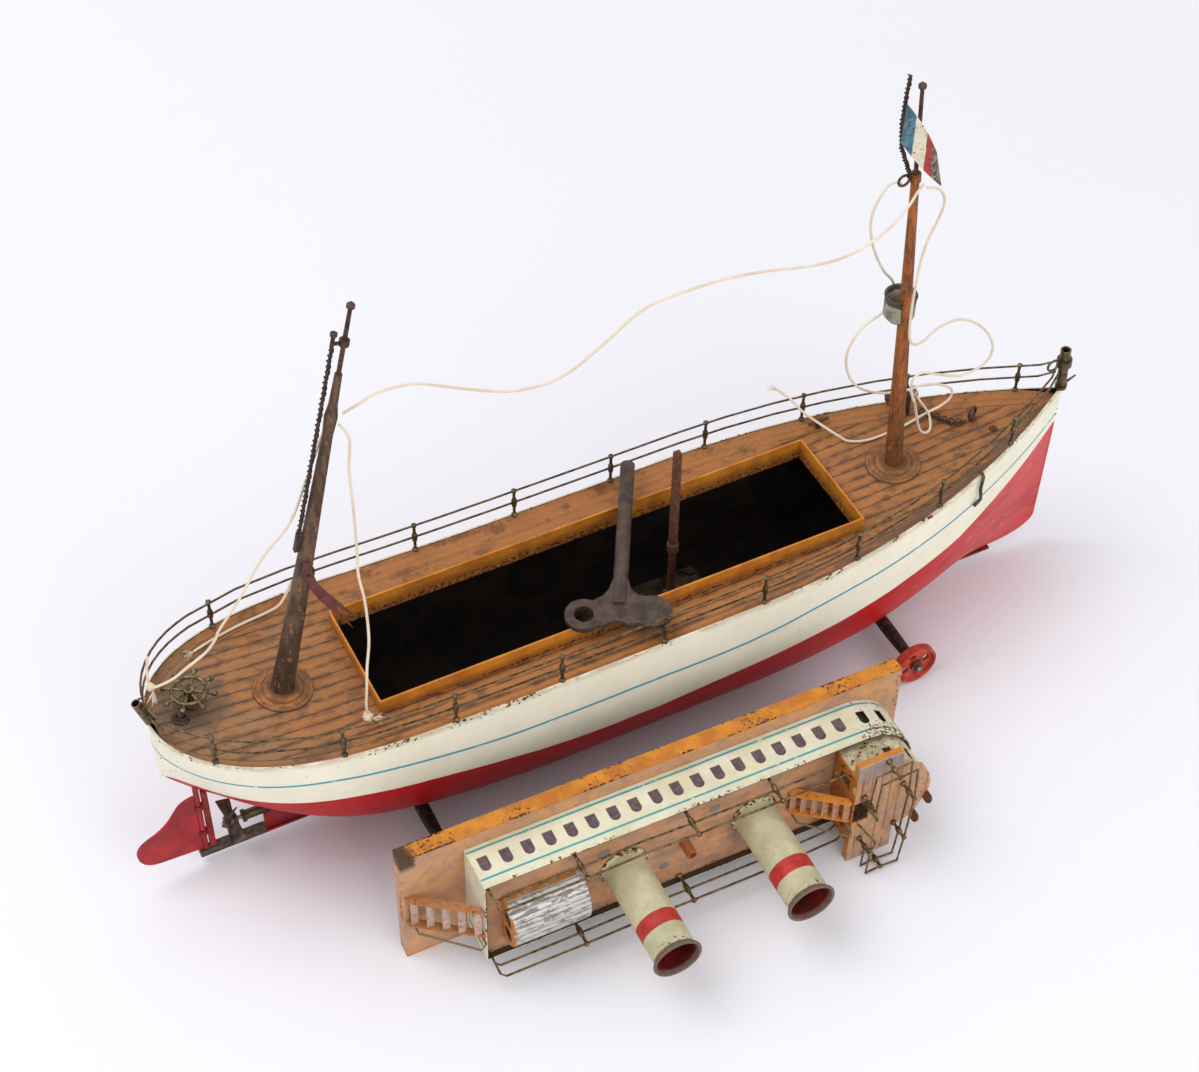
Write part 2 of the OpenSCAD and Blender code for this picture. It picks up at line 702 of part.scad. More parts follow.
module head_rod(l, collar) {
  bulge = collar ? 3.2 : rod_d / 2;
  rotate_extrude()
    polygon([
      [0, 0], [rod_d / 2, 0], [rod_d / 2, rod_bed + collar_lift - 3],
      [bulge, rod_bed + collar_lift - 2], [bulge, rod_bed + collar_lift + 2],
      [rod_d / 2, rod_bed + collar_lift + 3], [rod_d / 2 - 0.2, rod_bed + l - 3],
      [2.6, rod_bed + l - 2], [2.6, rod_bed + l], [1, rod_bed + l + 1.6], [0, rod_bed + l + 1.6]
    ]);
}

module masthead_rods() {
  color(c_dark) {
    on_mast(aft_mast_x, aft_mast_lean)
      translate([0, 0, aft_mast_h - rod_bed + seat])
        head_rod(aft_rod_l, true);
    on_mast(fore_mast_x, -fore_mast_lean)
      translate([0, 0, fore_mast_h - rod_bed + seat])
        head_rod(fore_rod_l, false);
  }
}

// Where the flag's wire stands, from its foot at the fore mast's head to its tip
flag_wire = [for (q = [
  [-4.8, -0.6, 0], [-7.6, -2, 8], [-13, -4, 20], [-18, -5, 32], [-20.2, -5.2, 50], [-19.8, -5.2, 68],
  [-18.6, -5.2, 86]
]) fore_top + q];

module ring(big, small) {
  rotate_extrude()
    translate([big, 0])
      circle(small, $fn = 24);
}

module mast_stays() {
  color(c_dark) {
    on_mast(aft_mast_x, aft_mast_lean) {
      arm_z = aft_mast_h + collar_lift;
      foot_z = 0.5 * aft_mast_h;
      rod([-3.5, 0, arm_z], [-7.5, 0, arm_z], 1.2, 1.2);
      rod([-7.5, 0, arm_z - 2.5], [-7.5, 0, arm_z + 6], 1.3, 1.3);
      rod([-7.5, 0, arm_z + 6], [-7.5, 0, arm_z + 8], 2.2, 2.2);
      rod([-7.5, 0, arm_z - 2], [-7.6, 0, foot_z + 6], 0.9, 0.9);
      translate([-9, -1.5, foot_z - 8])
        cube([8.7 - aft_mast_r(foot_z - 8), 3, 15]);
    }
    tube_along(flag_wire, 0.9, 8);
    translate(fore_top + [-8.4, 0, -1])
      rotate([90, 0, 0])
        ring(4, 0.9);
  }
}

module pennant() {
  h = 0.425 * aft_mast_h;
  color(c_red)
    on_mast(aft_mast_x, aft_mast_lean)
      translate([0, -aft_mast_r(h) - 0.35, h])
        rotate([90, 0, 0])
          linear_extrude(0.8)
            polygon([
              [-4, 7], [0, 4.5], [8, -14], [17, -25], [41, -52], [24.5, -38.5],
              [40, -62], [13.5, -32], [3, -17.5], [-1.5, -6], [-4, -4]
            ]);
}

// The flag is a bent tin sheet soldered to its wire
module flag() {
  n = 8;
  t = 0.8;
  tops = [for (i = [0:n]) let (f = i / n) [
    mix(-19.6, 9, f), mix(67, 20, f) + 2 * sin(180 * f), mix(-6.4, -5.2, f) - 2.2 * sin(180 * f)
  ]];
  feet = [for (i = [0:n]) let (f = i / n) [
    mix(-20, 15.5, f), mix(37, -8.5, f) - 2 * sin(180 * f), mix(-6.4, -7, f) - 2.2 * sin(180 * f)
  ]];
  rows = [tops, feet];
  points = [for (side = [0, 1]) for (r = rows) for (q = r)
    fore_top + [q[0], q[2] - side * t, q[1]]];
  m = n + 1;
  function quad(a, b, c, d) = [[a, b, c], [a, c, d]];
  faces = concat(
    [for (i = [0:n - 1]) each quad(i, i + 1, m + i + 1, m + i)],
    [for (i = [0:n - 1]) each quad(2 * m + i, 3 * m + i, 3 * m + i + 1, 2 * m + i + 1)],
    [for (i = [0:n - 1]) each quad(i, 2 * m + i, 2 * m + i + 1, i + 1)],
    [for (i = [0:n - 1]) each quad(m + i, m + i + 1, 3 * m + i + 1, 3 * m + i)],
    quad(0, m, 3 * m, 2 * m),
    quad(n, 2 * m + n, 3 * m + n, m + n)
  );
  color(c_cream)
    polyhedron(points = points, faces = faces, convexity = 4);
}

module crows_nest() {
  h = 0.515 * fore_mast_h;
  foot = mast_at(fore_mast_x, -fore_mast_lean, 0, 0, h);
  r = nest_d / 2;
  color(c_cream)
    difference() {
      translate(foot + [0, 7.5, -1])
        rotate_extrude()
          polygon([
            [0, 0], [r - 3, 0], [r, 4], [r, nest_h - 1], [r + 0.6, nest_h],
            [r - 1, nest_h], [r - 1, 4.5], [r - 3.4, 1], [0, 1]
          ]);
      on_mast(fore_mast_x, -fore_mast_lean)
        cylinder(h = fore_mast_h, r1 = fore_mast_d / 2 + 0.4, r2 = fore_top_d / 2 + 0.4);
    }
}

// Sockets at the two ends of the deck
stern_socket_mouth = [-half_len - 5, 0, edge_z(-half_len) + 22];
stern_socket_root = [-half_len + 1.7, 0, edge_z(-half_len) + 1.2];
module stern_socket() {
  v = stern_socket_root - stern_socket_mouth;
  color(c_bronze)
    difference() {
      union() {
        rod(stern_socket_root, stern_socket_mouth, 3.8, 3.1);
        translate([stern_socket_root.x, 0, edge_z(-half_len) + seat])
          cylinder(h = 2.4, r = 3);
      }
      rod(stern_socket_mouth + 12 * v / norm(v), stern_socket_mouth - v / norm(v), 2.4, 2.4);
    }
}

bow_socket_top = [half_len - 3.5, 0, edge_z(half_len) + 38];
module bow_socket() {
  root = [half_len - 1, 0, edge_z(half_len) + 1.2];
  v = root - bow_socket_top;
  d = v / norm(v);
  color(c_bronze)
    difference() {
      union() {
        rod(root, bow_socket_top, 3.6, 3.9);
        rod(bow_socket_top + d * 15, bow_socket_top + d * 9, 5.6, 5.6);
        translate([root.x, 0, edge_z(half_len) + seat])
          cylinder(h = 3, r = 4.4);
        rod(root + [2, 0, 1.5], root + [12, 0, 6], 1.3, 0.6);
        // Loop of wire on the socket's aft side
        translate(bow_socket_top + d * 12 + [-9.6, 0, 0])
          rotate([90, 0, 0])
            ring(4.6, 0.9);
      }
      rod(bow_socket_top + d * 20, bow_socket_top - d, 2.6, 2.6);
    }
}

// Small fittings of the deck, with the windlass's stands and the steering wheel's post
helm_at = [-319 * half_len / 350, 8, deck_z(-319 * half_len / 350) + steering_h];
helm_pin_r = 1.5;
windlass_x = 237;
windlass_y = half_beam(windlass_x) - 9.1343;
windlass_z = deck_z(windlass_x) + 17.1222;
windlass_turn = -14;
windlass_r = 1.5;
module at_windlass() {
  translate([windlass_x, windlass_y, windlass_z])
    rotate([0, 0, windlass_turn])
      children();
}

module deck_fittings() {
  color(c_dark) {
    // Collar round the rudder stock
    on_deck(stock_x)
      difference() {
        rotate_extrude()
          polygon([[2.8, 0], [6, 0], [5.4, 1.2], [4.2, 1.6], [4, 3], [2.8, 3]]);
        translate([0, 0, -1])
          cylinder(h = 8, r = stock_d / 2 + 0.6);
      }
    // Post and pin of the steering wheel
    translate(helm_at) {
      translate([0, 0, 1.4 - steering_h])
        rotate_extrude()
          polygon([
            [0, 0], [4.5, 0], [4.2, 1], [2.6, 2], [2, steering_h - 6], [2.6, steering_h - 4],
            [helm_pin_r, steering_h - 4], [helm_pin_r, steering_h + 1.6], [0, steering_h + 1.6]
          ]);
    }
    // Windlass stands
    at_windlass()
      for (x = [-6.2, 5])
        difference() {
          translate([x, 0, 0])
            rotate([90, 0, 90])
              linear_extrude(1.2)
                polygon([
                  [-4, -16.3], [0, -16.3], [2.5, -14.2], [3.4, 0], [2.4, 3], [-2.4, 3], [-3.4, 0]
                ]);
          translate([x - 1, 0, 0])
            rotate([0, 90, 0])
              cylinder(h = 3, r = windlass_r + run);
        }
    // Cleat
    translate([178, half_beam(178) - 8.3317, deck_z(178) + 1.4]) {
      cylinder(h = 6, r1 = 2.2, r2 = 1.6);
      translate([-8, 0, 5.6])
        rotate([0, 90, 0])
          cylinder(h = 16, r = 1.3);
    }
    // Ring bolt and plug before the mast
    on_deck(280, 10) {
      cylinder(h = 2, r = 2.6);
      translate([0, 0, 6.2])
        rotate([90, 0, 25])
          ring(4.6, 1);
    }
    on_deck(288, -6)
      cylinder(h = 1.6, r1 = 3, r2 = 2);
  }
}

// Chain from the windlass to the ring bolt: round links, each turned a quarter from the last
chain_route = [[251, 31.5], [255, 26.5], [258.5, 21.5], [262, 15.5], [266, 11], [270, 9.4], [274, 9.2]];
chain_link_r = 2.2;
chain_pitch = 2.85;
function route_len(p, i) = i == 0 ? 0 : route_len(p, i - 1) + norm(p[i] - p[i - 1]);
function route_leg(p, d, i = 0) = i >= len(p) - 2 || route_len(p, i + 1) > d ? i : route_leg(p, d, i + 1);
module anchor_chain() {
  color(c_dark)
    for (k = [0:floor(route_len(chain_route, len(chain_route) - 1) / chain_pitch)]) {
      i = route_leg(chain_route, k * chain_pitch);
      v = unit(chain_route[i + 1] - chain_route[i]);
      q = chain_route[i] + v * (k * chain_pitch - route_len(chain_route, i));
      translate([q.x, q.y, deck_z(q.x) + 2.5])
        rotate([0, 0, atan2(v.y, v.x)])
          rotate([k % 2 == 0 ? 45 : -45, 0, 0])
            ring(chain_link_r, 0.6);
    }
}

// Road gear
module axle_tube() {
  rotate_extrude()
    polygon([
      [axle_d / 2 + run, -axle_tube_end], [4, -axle_tube_end], [axle_tube_r, -48], [axle_tube_r, 48],
      [4, axle_tube_end], [axle_d / 2 + run, axle_tube_end]
    ]);
}

module across(x) {
  translate([x, 0, axle_z])
    rotate([90, 0, 0])
      children();
}

module axle_tubes() {
  color(c_dark)
    for (x = [aft_axle_x, fore_axle_x])
      across(x)
        axle_tube();
}

module axle() {
  half = wheel_track / 2 + wheel_w / 2 + 3;
  rotate_extrude()
    polygon([
      [0, -half - 1], [1.2, -half - 1], [2.4, -half], [2.4, -half + 2.6], [axle_d / 2, -half + 2.6],
      [axle_d / 2, half - 2.6], [2.4, half - 2.6], [2.4, half], [1.2, half + 1], [0, half + 1]
    ]);
}

module wheels() {
  for (side = [-1, 1])
    translate([0, 0, side * wheel_track / 2])
      difference() {
        rotate_extrude() {
          w = wheel_w / 2;
          polygon([
            [axle_d / 2 + 0.1, -w], [4.5, -w], [4.5, -1.2], [wheel_r - 3, -1.2], [wheel_r - 2, -w + 0.6],
            [wheel_r - 1, -w], [wheel_r, -w + 1], [wheel_r, w - 1], [wheel_r - 1, w],
            [wheel_r - 2, w - 0.6], [wheel_r - 3, 1.2], [4.5, 1.2], [4.5, w], [axle_d / 2 + 0.1, w]
          ]);
        }
        for (a = [0:90:270])
          rotate([0, 0, a + 20])
            translate([wheel_r / 2 + 0.6, 0, -3])
              cylinder(h = 6, r = 3);
      }
}

module fore_axle() {
  color(c_steel)
    across(fore_axle_x)
      axle();
}

module aft_axle() {
  color(c_steel)
    across(aft_axle_x)
      axle();
}

module fore_wheels() {
  color(c_red)
    across(fore_axle_x)
      wheels();
}

module aft_wheels() {
  color(c_red)
    across(aft_axle_x)
      wheels();
}

module windlass() {
  color(c_dark)
    at_windlass()
      rotate([0, 90, 0]) {
        cylinder(h = 24, r = windlass_r, center = true);
        translate([0, 0, -4.4])
          cylinder(h = 8.8, r = 2.8);
        for (z = [-11.6, 8.6])
          translate([0, 0, z])
            linear_extrude(3)
              polygon([for (i = [0:15]) let (a = 22.5 * i, r = i % 2 == 0 ? 4.8 : 3.4)
                [r * cos(a), r * sin(a)]]);
      }
}

// Propeller, shaft and rudder
module stern_tube() {
  color(c_brass)
    translate([stern_tube_x0, 0, shaft_z])
      rotate([0, 90, 0])
        difference() {
          union() {
            cylinder(h = stern_tube_x1 - stern_tube_x0, r = stern_tube_r);
            cylinder(h = 2.5, r = stern_tube_r + 1);
          }
          translate([0, 0, -1])
            cylinder(h = stern_tube_x1 - stern_tube_x0 + 2, r = shaft_d / 2 + run);
        }
}

module propeller() {
  color(c_dark)
    translate([propeller_x, 0, shaft_z])
      rotate([0, 90, 0])
        difference() {
          union() {
            cylinder(h = 9, r = 4.2, center = true);
            for (a = [20:90:290])
              rotate([0, 0, a])
                rotate([0, 90, 0])
                  linear_extrude(propeller_r - 0.6, twist = 34, slices = 8, $fn = 8)
                    rotate([0, 0, 62])
                      polygon([
                        [-5.8, -0.5], [-2.6, -0.9], [2.6, -0.9], [5.8, -0.5],
                        [5.8, 0.3], [2.6, 0.7], [-2.6, 0.7], [-5.8, 0.3]
                      ]);
          }
          cylinder(h = 20, r = shaft_d / 2 + run, center = true);
        }
}

// Teeth of a flat wheel, the first on the +X side
function gear_points(teeth, m) = let (
  p = 360 / teeth, r = teeth * m / 2, tip = r + 0.85 * m, low = r - 1.1 * m
) [
  for (i = [0:teeth - 1]) for (q = [[low, -0.2], [tip, -0.1], [tip, 0.1], [low, 0.2]])
    [q[0] * cos((i + q[1]) * p), q[0] * sin((i + q[1]) * p)]
];
module gear(teeth, m, t) {
  linear_extrude(t)
    polygon(gear_points(teeth, m));
}
// Turns a wheel so that a tooth, or with half = 1 a space, faces another arbor
function facing(a, b, teeth, half) = atan2(b.y - a.y, b.x - a.x) + half * 180 / teeth;

contrate_at = [contrate_x, 0];
second_at = [second_x, second_y];
great_at = [winding_x, winding_y];

module propeller_shaft() {
  pinion_x = contrate_x - contrate_r;
  x0 = propeller_x - 6;
  color(c_steel) {
    translate([x0, 0, shaft_z])
      rotate([0, 90, 0])
        cylinder(h = pinion_x + 5 - x0, r = shaft_d / 2);
    translate([pinion_x - 2.2, 0, shaft_z])
      rotate([0, 90, 0])
        linear_extrude(4.4)
          polygon([for (i = [0:shaft_pinion_teeth - 1]) let (p = 360 / shaft_pinion_teeth)
            for (q = [[3.1, -0.21], [5.2, -0.11], [5.2, 0.11], [3.1, 0.21]])
              [q[0] * cos((i + 0.5 + q[1]) * p), q[0] * sin((i + 0.5 + q[1]) * p)]]);
  }
}

module arbor(at) {
  translate([at.x, at.y, arbor_z0])
    cylinder(h = arbor_z1 - arbor_z0, r = arbor_r);
}

module crossings(r, hole) {
  for (a = [30:60:330])
    rotate([0, 0, a])
      translate([r, 0, -1])
        cylinder(h = 6, r = hole);
}

module contrate_wheel() {
  color(c_brass) {
    arbor(contrate_at);
    translate([contrate_x, 0, contrate_z]) {
      difference() {
        cylinder(h = wheel_t, r = contrate_r + contrate_face / 2);
        crossings(7, 2.2);
      }
      // Teeth standing down from the disc's edge
      for (i = [0:contrate_teeth - 1])
        rotate([0, 0, 180 + 360 * i / contrate_teeth])
          translate([contrate_r - contrate_face / 2 + 0.2, 0, 0])
            rotate([90, 0, 90])
              linear_extrude(contrate_face - 0.4)
                polygon([[-0.65, 0.2], [-0.65, 0], [-0.4, -2.2], [0.4, -2.2], [0.65, 0], [0.65, 0.2]]);
    }
    translate([contrate_x, 0, second_z - 1])
      rotate([0, 0, facing(contrate_at, second_at, pinion_teeth, 1)])
        gear(pinion_teeth, second_module, wheel_t + 2);
  }
}

module second_wheel() {
  color(c_brass) {
    arbor(second_at);
    translate([second_x, second_y, second_z])
      rotate([0, 0, facing(second_at, contrate_at, second_teeth, 0)])
        difference() {
          gear(second_teeth, second_module, wheel_t);
          crossings(9.5, 3);
        }
    translate([second_x, second_y, great_z - 1])
      rotate([0, 0, facing(second_at, great_at, pinion_teeth, 1)])
        gear(pinion_teeth, great_module, great_t + 2);
  }
}

module great_wheel() {
  color(c_brass)
    translate([winding_x, winding_y, 0])
      difference() {
        union() {
          translate([0, 0, great_z])
            rotate([0, 0, facing(great_at, second_at, great_teeth, 0)])
              gear(great_teeth, great_module, great_t);
          translate([0, 0, barrel_z1 + seat])
            cylinder(h = great_z + great_t + 2 - barrel_z1 - seat, r = 8);
        }
        translate([0, 0, great_z])
          crossings(16.5, 5);
        cylinder(h = plate_high, r = winder_r + run);
      }
}

module spring_barrel() {
  color(c_brass)
    translate([winding_x, winding_y, 0])
      rotate_extrude()
        polygon([
          [winder_r + run, barrel_z0], [5, barrel_z0], [5, barrel_z0 + 0.8], [barrel_r, barrel_z0 + 0.8],
          [barrel_r, barrel_z1 - 1], [barrel_r + 1, barrel_z1 - 1], [barrel_r + 1, barrel_z1],
          [winder_r + run, barrel_z1]
        ]);
}

module winding_arbor() {
  color(c_steel)
    translate([winding_x, winding_y, 0]) {
      translate([0, 0, arbor_z0])
        cylinder(h = winder_top - arbor_z0, r = winder_r);
      translate([0, 0, ratchet_z])
        linear_extrude(ratchet_t)
          polygon([for (i = [0:ratchet_teeth - 1]) let (p = 360 / ratchet_teeth)
            for (q = [[ratchet_r - 2, 0], [ratchet_r, 0.02], [ratchet_r, 0.12]])
              [q[0] * cos((i + q[1]) * p), q[0] * sin((i + q[1]) * p)]]);
    }
}

// The winding rod is pinned on the arbor and stands up through the hatch, with a square at its top
module winding_rod() {
  r = winding_rod_d / 2;
  color(c_rust)
    translate([winding_x, winding_y, 0])
      difference() {
        union() {
          rotate_extrude()
            polygon([
              [0, winder_top - 3], [4.8, winder_top - 3], [4.8, winder_top + 7],
              [r - 0.5, winder_top + 8], [r - 0.5, 120], [r + 1, 121], [r + 1, 128], [r, 129],
              [r, winding_rod_top - 14], [0, winding_rod_top - 14]
            ]);
          intersection() {
            translate([0, 0, winding_rod_top - 14.1])
              cylinder(h = 14.1, r = r);
            translate([-2.6, -2.6, winding_rod_top - 14.1])
              cube([5.2, 5.2, 14.1]);
          }
        }
        translate([0, 0, winder_top - 4])
          cylinder(h = 4 + seat, r = winder_r + 0.1);
      }
}

// The click swings on a pin in the upper plate, its nose in the ratchet
click_at = great_at + click_reach * [cos(90 - click_back), sin(90 - click_back)];
module click() {
  color(c_steel)
    union() {
      translate([click_at.x, click_at.y, plate_high - 0.5])
        cylinder(h = ratchet_z + ratchet_t + 1 - plate_high + 0.5, r = 1.5);
      translate([click_at.x, click_at.y, ratchet_z])
        cylinder(h = ratchet_t, r = 3);
      translate([great_at.x, great_at.y, ratchet_z])
        linear_extrude(ratchet_t)
          polygon([for (q = [
              [19.6, 38], [17, 60], [14.8, 80], [12.8, 89], [12.3, 88], [12.9, 76], [13.2, 62], [14.6, 48]
            ]) q[0] * [cos(q[1]), sin(q[1])]]);
    }
}

module plate_outline(holes) {
  difference() {
    translate([plate_x0, -plate_half])
      square([plate_x1 - plate_x0, 2 * plate_half]);
    for (q = holes)
      translate([q[0], q[1]])
        circle(q[2]);
    for (x = [plate_x0 + pillar_inset, plate_x1 - pillar_inset])
      for (y = [-1, 1])
        translate([x, y * (plate_half - pillar_inset)])
          circle(2);
  }
}

module lower_plate() {
  color(c_brass) {
    translate([0, 0, plate_low])
      linear_extrude(plate_t)
        plate_outline([
          [contrate_x, 0, arbor_r + run], [second_x, second_y, arbor_r + run],
          [winding_x, winding_y, winder_r + run]
        ]);
    // Bearings of the propeller shaft, on either side of its pinion
    for (x = [contrate_x - 19.5, contrate_x - 9.6])
      difference() {
        translate([x, -3, plate_low + plate_t - 0.1])
          cube([1.6, 6, shaft_z + 2.9 - plate_low - plate_t]);
        translate([x - 1, 0, shaft_z])
          rotate([0, 90, 0])
            cylinder(h = 4, r = shaft_d / 2 + run);
      }
  }
}

module upper_plate() {
  color(c_brass)
    translate([0, 0, plate_high])
      linear_extrude(plate_t)
        plate_outline([
          [contrate_x, 0, arbor_r + run], [second_x, second_y, arbor_r + run],
          [winding_x, winding_y, winder_r + run], [click_at.x, click_at.y, 1.5 + run]
        ]);
}

// Height of the hull's floor at x and y
function floor_z(x, y) = let (low = bottom_z(x) + hull_sheet) low + (edge_z(x) - low)
  * (1 - pow(1 - pow(y / (half_beam(x) - hull_sheet), beam_power(x)), 1 / height_power(x)));

// Pillars with shouldered ends; their feet stand on the hull's floor
pillar_foot_r = 3.4;
pillar_foot_z = floor_z(0, plate_half - pillar_inset + pillar_foot_r) + 0.6374;
module frame_pillars() {
  color(c_brass)
    for (x = [plate_x0 + pillar_inset, plate_x1 - pillar_inset])
      for (y = [-1, 1])
        translate([x, y * (plate_half - pillar_inset), 0])
          rotate_extrude()
            polygon([
              [0, pillar_foot_z], [pillar_foot_r, pillar_foot_z], [pillar_foot_r, plate_low - 0.1],
              [1.9, plate_low - 0.1],
              [1.9, plate_low + plate_t + 0.1], [3, plate_low + plate_t + 0.1],
              [3, plate_high - 0.1], [1.9, plate_high - 0.1], [1.9, plate_high + plate_t + 0.1],
              [3.2, plate_high + plate_t + 0.1], [3.2, plate_high + plate_t + 3],
              [0, plate_high + plate_t + 3]
            ]);
}

module on_stock(angle) {
  translate([stock_x, 0, 0])
    rotate([0, 0, angle])
      children();
}

module rudder() {
  color(c_red)
    on_stock(rudder_angle)
      difference() {
        translate([0, 0.75, 0])
          rotate([90, 0, 0])
            linear_extrude(1.5)
              polygon(spline([
                [-2.2, 66], [-8, 65.4], [-13.5, 62.5], [-17.8, 57], [-23.8, 49.5], [-31, 44.2], [-38, 41.4],
                [-44, 37.8], [-47.2, 32], [-46.8, 24], [-43, 17], [-36.5, 12.8], [-24, 10.4], [-2.2, 7]
              ], 3));
        for (z = [21.6, 49.6])
          translate([0, 0, z])
            cylinder(h = 5.8, r = gudgeon_r + 0.4);
      }
}

module rudder_stock() {
  color(c_steel)
    on_stock(rudder_angle)
      translate([0, 0, 2.4])
        cylinder(h = deck_z(stock_x) + 4, r = stock_d / 2);
}

module steering_wheel() {
  color(c_bronze)
    translate(helm_at)
      difference() {
        union() {
          ring(11.2, 1.3);
          translate([0, 0, -2.3])
            cylinder(h = 4.6, r = 3.6);
          // Spokes with a ball at each end
          for (a = [0:45:315])
            rotate([0, 0, a + 12])
              rotate([0, 90, 0])
                rotate_extrude()
                  polygon([
                    [0, 2.5], [0.9, 2.5], [0.9, 13.6], [1.3, 15], [2, 16.2], [2, 17.2],
                    [1.5, 18.2], [0.8, 18.6], [0, 18.6]
                  ]);
        }
        translate([0, 0, -3])
          cylinder(h = 6, r = helm_pin_r + run);
      }
}

// The key lies across the hatch, its grip on the near coaming and its shank on the far one
key_at = [-31, -34];
key_lift = 2.95;
key_tilt = atan((key_shank_d / 2 + 0.35 - key_lift) * cos(key_turn) / (hatch_w / 2 - key_at.y));
module on_hatch() {
  translate([key_at.x, key_at.y, coaming_top + key_lift])
    rotate([0, 0, 90 - key_turn])
      rotate([0, -key_tilt, 0])
        children();
}

module key() {
  socket = 5.6;
  color(c_dark)
    on_hatch()
      difference() {
        union() {
          translate([-8, 0, 0])
            rotate([0, 90, 0])
              cylinder(h = key_shank_l + 8, r = key_shank_d / 2);
          translate([-11, 0, -2])
            linear_extrude(4)
              difference() {
                union() {
                  translate([-7, key_lobes / 2])
                    circle(13);
                  translate([-1, -key_lobes / 2])
                    circle(13);
                  polygon([
                    [-17, 22], [2, key_lobes / 2 + 10], [5, 18], [10, 11], [16, 7.4], [25, key_shank_d / 2],
                    [25, -key_shank_d / 2], [17, -7.4], [12, -12], [10, -key_lobes / 2], [-11, -22]
                  ]);
                }
                translate([-20, 0])
                  circle(9);
              }
        }
        translate([-18, key_lobes / 2, -3])
          cylinder(h = 6, r = 6.7);
        // Square socket
        translate([key_shank_l - 16, -socket / 2, -socket / 2])
          cube([17, socket, socket]);
        // The shank is flattened under the grip
        translate([-40, -30, -12])
          cube([46, 60, 10]);
      }
}

// Upper works. They lie on their starboard side beside the hull, roof outwards: s runs along them from
// the aft end, w across them to port and h up from their underside
house_yaw = -1.2;
cabin_r = cabin_w / 2;
nose_s = house_len - 6 - cabin_r;
roof_z = roof_h - 4;
bridge_s = nose_s - 19;
bridge_r = cabin_r - 6;
bridge_nose = nose_s + 4;
window_w = 7.3;
window_sill = 20.8;
window_h = 11.3;
window_pitch = (nose_s - 9.3 - cabin_aft - 8) / (window_count - 1);
module upper_works() {
  translate([house_x, -house_y, house_w / 2 + ground_z])
    rotate([0, 0, house_yaw])
      rotate([90, 0, 0])
        children();
}

// Plan of a house: square aft, round forward
module plan(s0, nose, r) {
  translate([s0, -r])
    square([nose - s0, 2 * r]);
  intersection() {
    translate([nose, 0])
      circle(r);
    translate([nose, -r])
      square([r, 2 * r]);
  }
}

module house_base() {
  t = house_sheet;
  color(c_orange)
    upper_works()
      difference() {
        translate([0, -house_w / 2, 0])
          cube([house_len, house_w, base_h]);
        translate([t, t - house_w / 2, -1])
          cube([house_len - 2 * t, house_w - 2 * t, base_h + 1 - t]);
        translate([0, 0, base_h - t - 1])
          linear_extrude(t + 2)
            plan(cabin_aft + 6, nose_s, cabin_r - 6);
        // A notch in the aft end, round the foot of the stair
        translate([-1, -14, base_h - 5])
          cube([0.6 + t, 28, 6]);
      }
}

// An arched window's shape, its sill towards the base, cut square through a wall along w
module window_cut(w, sill, h) {
  translate([-w / 2, 0, sill])
    cube([w, 4, h - w / 2]);
  translate([0, 0, sill + h - w / 2])
    rotate([-90, 0, 0])
      cylinder(h = 4, r = w / 2);
}

module cabin() {
  t = house_sheet;
  z0 = base_h + seat;
  color(c_cream)
    upper_works()
      difference() {
        translate([0, 0, z0])
          linear_extrude(roof_h - z0)
            plan(cabin_aft, nose_s, cabin_r);
        translate([0, 0, z0 - 1])
          linear_extrude(roof_h)
            plan(cabin_aft + t, nose_s, cabin_r - t);
        // Pressed window panels along both sides
        for (i = [0:window_count - 1])
          for (side = [0, 1])
            translate([cabin_aft + 8 + i * window_pitch, 0, 0])
              mirror([0, side, 0])
                translate([0, cabin_r - 0.4, 0])
                  window_cut(window_w, window_sill, window_h);
        // Open windows round the nose
        for (a = [-77:22:77])
          translate([nose_s, 0, 0])
            rotate([0, 0, a - 90])
              translate([0, cabin_r - 2.5, 0])
                window_cut(window_w, window_sill, window_h);
        // Pressed doors in the aft end
        for (w = [-34, -19])
          translate([cabin_aft - 1, w, 15])
            cube([1.4, 11, 23]);
      }
}

module boat_deck() {
  tube_s = 190;
  color(c_tan)
    upper_works()
      difference() {
        union() {
          translate([0, 0, roof_z - house_sheet])
            linear_extrude(house_sheet)
              plan(cabin_aft + house_sheet + 0.15, nose_s, cabin_r - house_sheet - 0.15);
          translate([tube_s, 0, roof_z - house_sheet])
            cylinder(h = house_sheet + 13, r = 3.75);
          // Patches of solder
          for (q = [[130, 22, 5], [176, -20, 4], [212, 24, 4.5], [262, -26, 3.5]])
            translate([q[0], q[1], roof_z - 0.1])
              cylinder(h = 0.7, r1 = q[2], r2 = q[2] - 1.2);
        }
        translate([tube_s, 0, roof_z - 3])
          cylinder(h = 20, r = 2.8);
        for (s = [aft_funnel_s, fore_funnel_s])
          translate([s, 0, roof_z - 3])
            cylinder(h = 6, r = funnel_d / 2 - 2);
      }
}

module funnel(s) {
  r = funnel_d / 2;
  top = roof_h + funnel_h - roof_z;
  color(c_cream)
    upper_works()
      translate([s, 0, roof_z + seat])
        rotate_extrude()
          polygon([
            [r - 1, 0], [r + 2.4, 0], [r + 2.4, 0.8], [r + 0.4, 2], [r, 4], [r, top - 5],
            [r + 0.8, top - 3.4],
            [r + 2, top - 2.2], [r + 2.4, top - 1.2], [r + 2, top - 0.2], [r + 1, top], [r + 0.2, top - 0.6],
            [r - 0.4, top - 2.4], [r - 1, top - 4]
          ]);
}

module aft_funnel() {
  funnel(aft_funnel_s);
}

module fore_funnel() {
  funnel(fore_funnel_s);
}

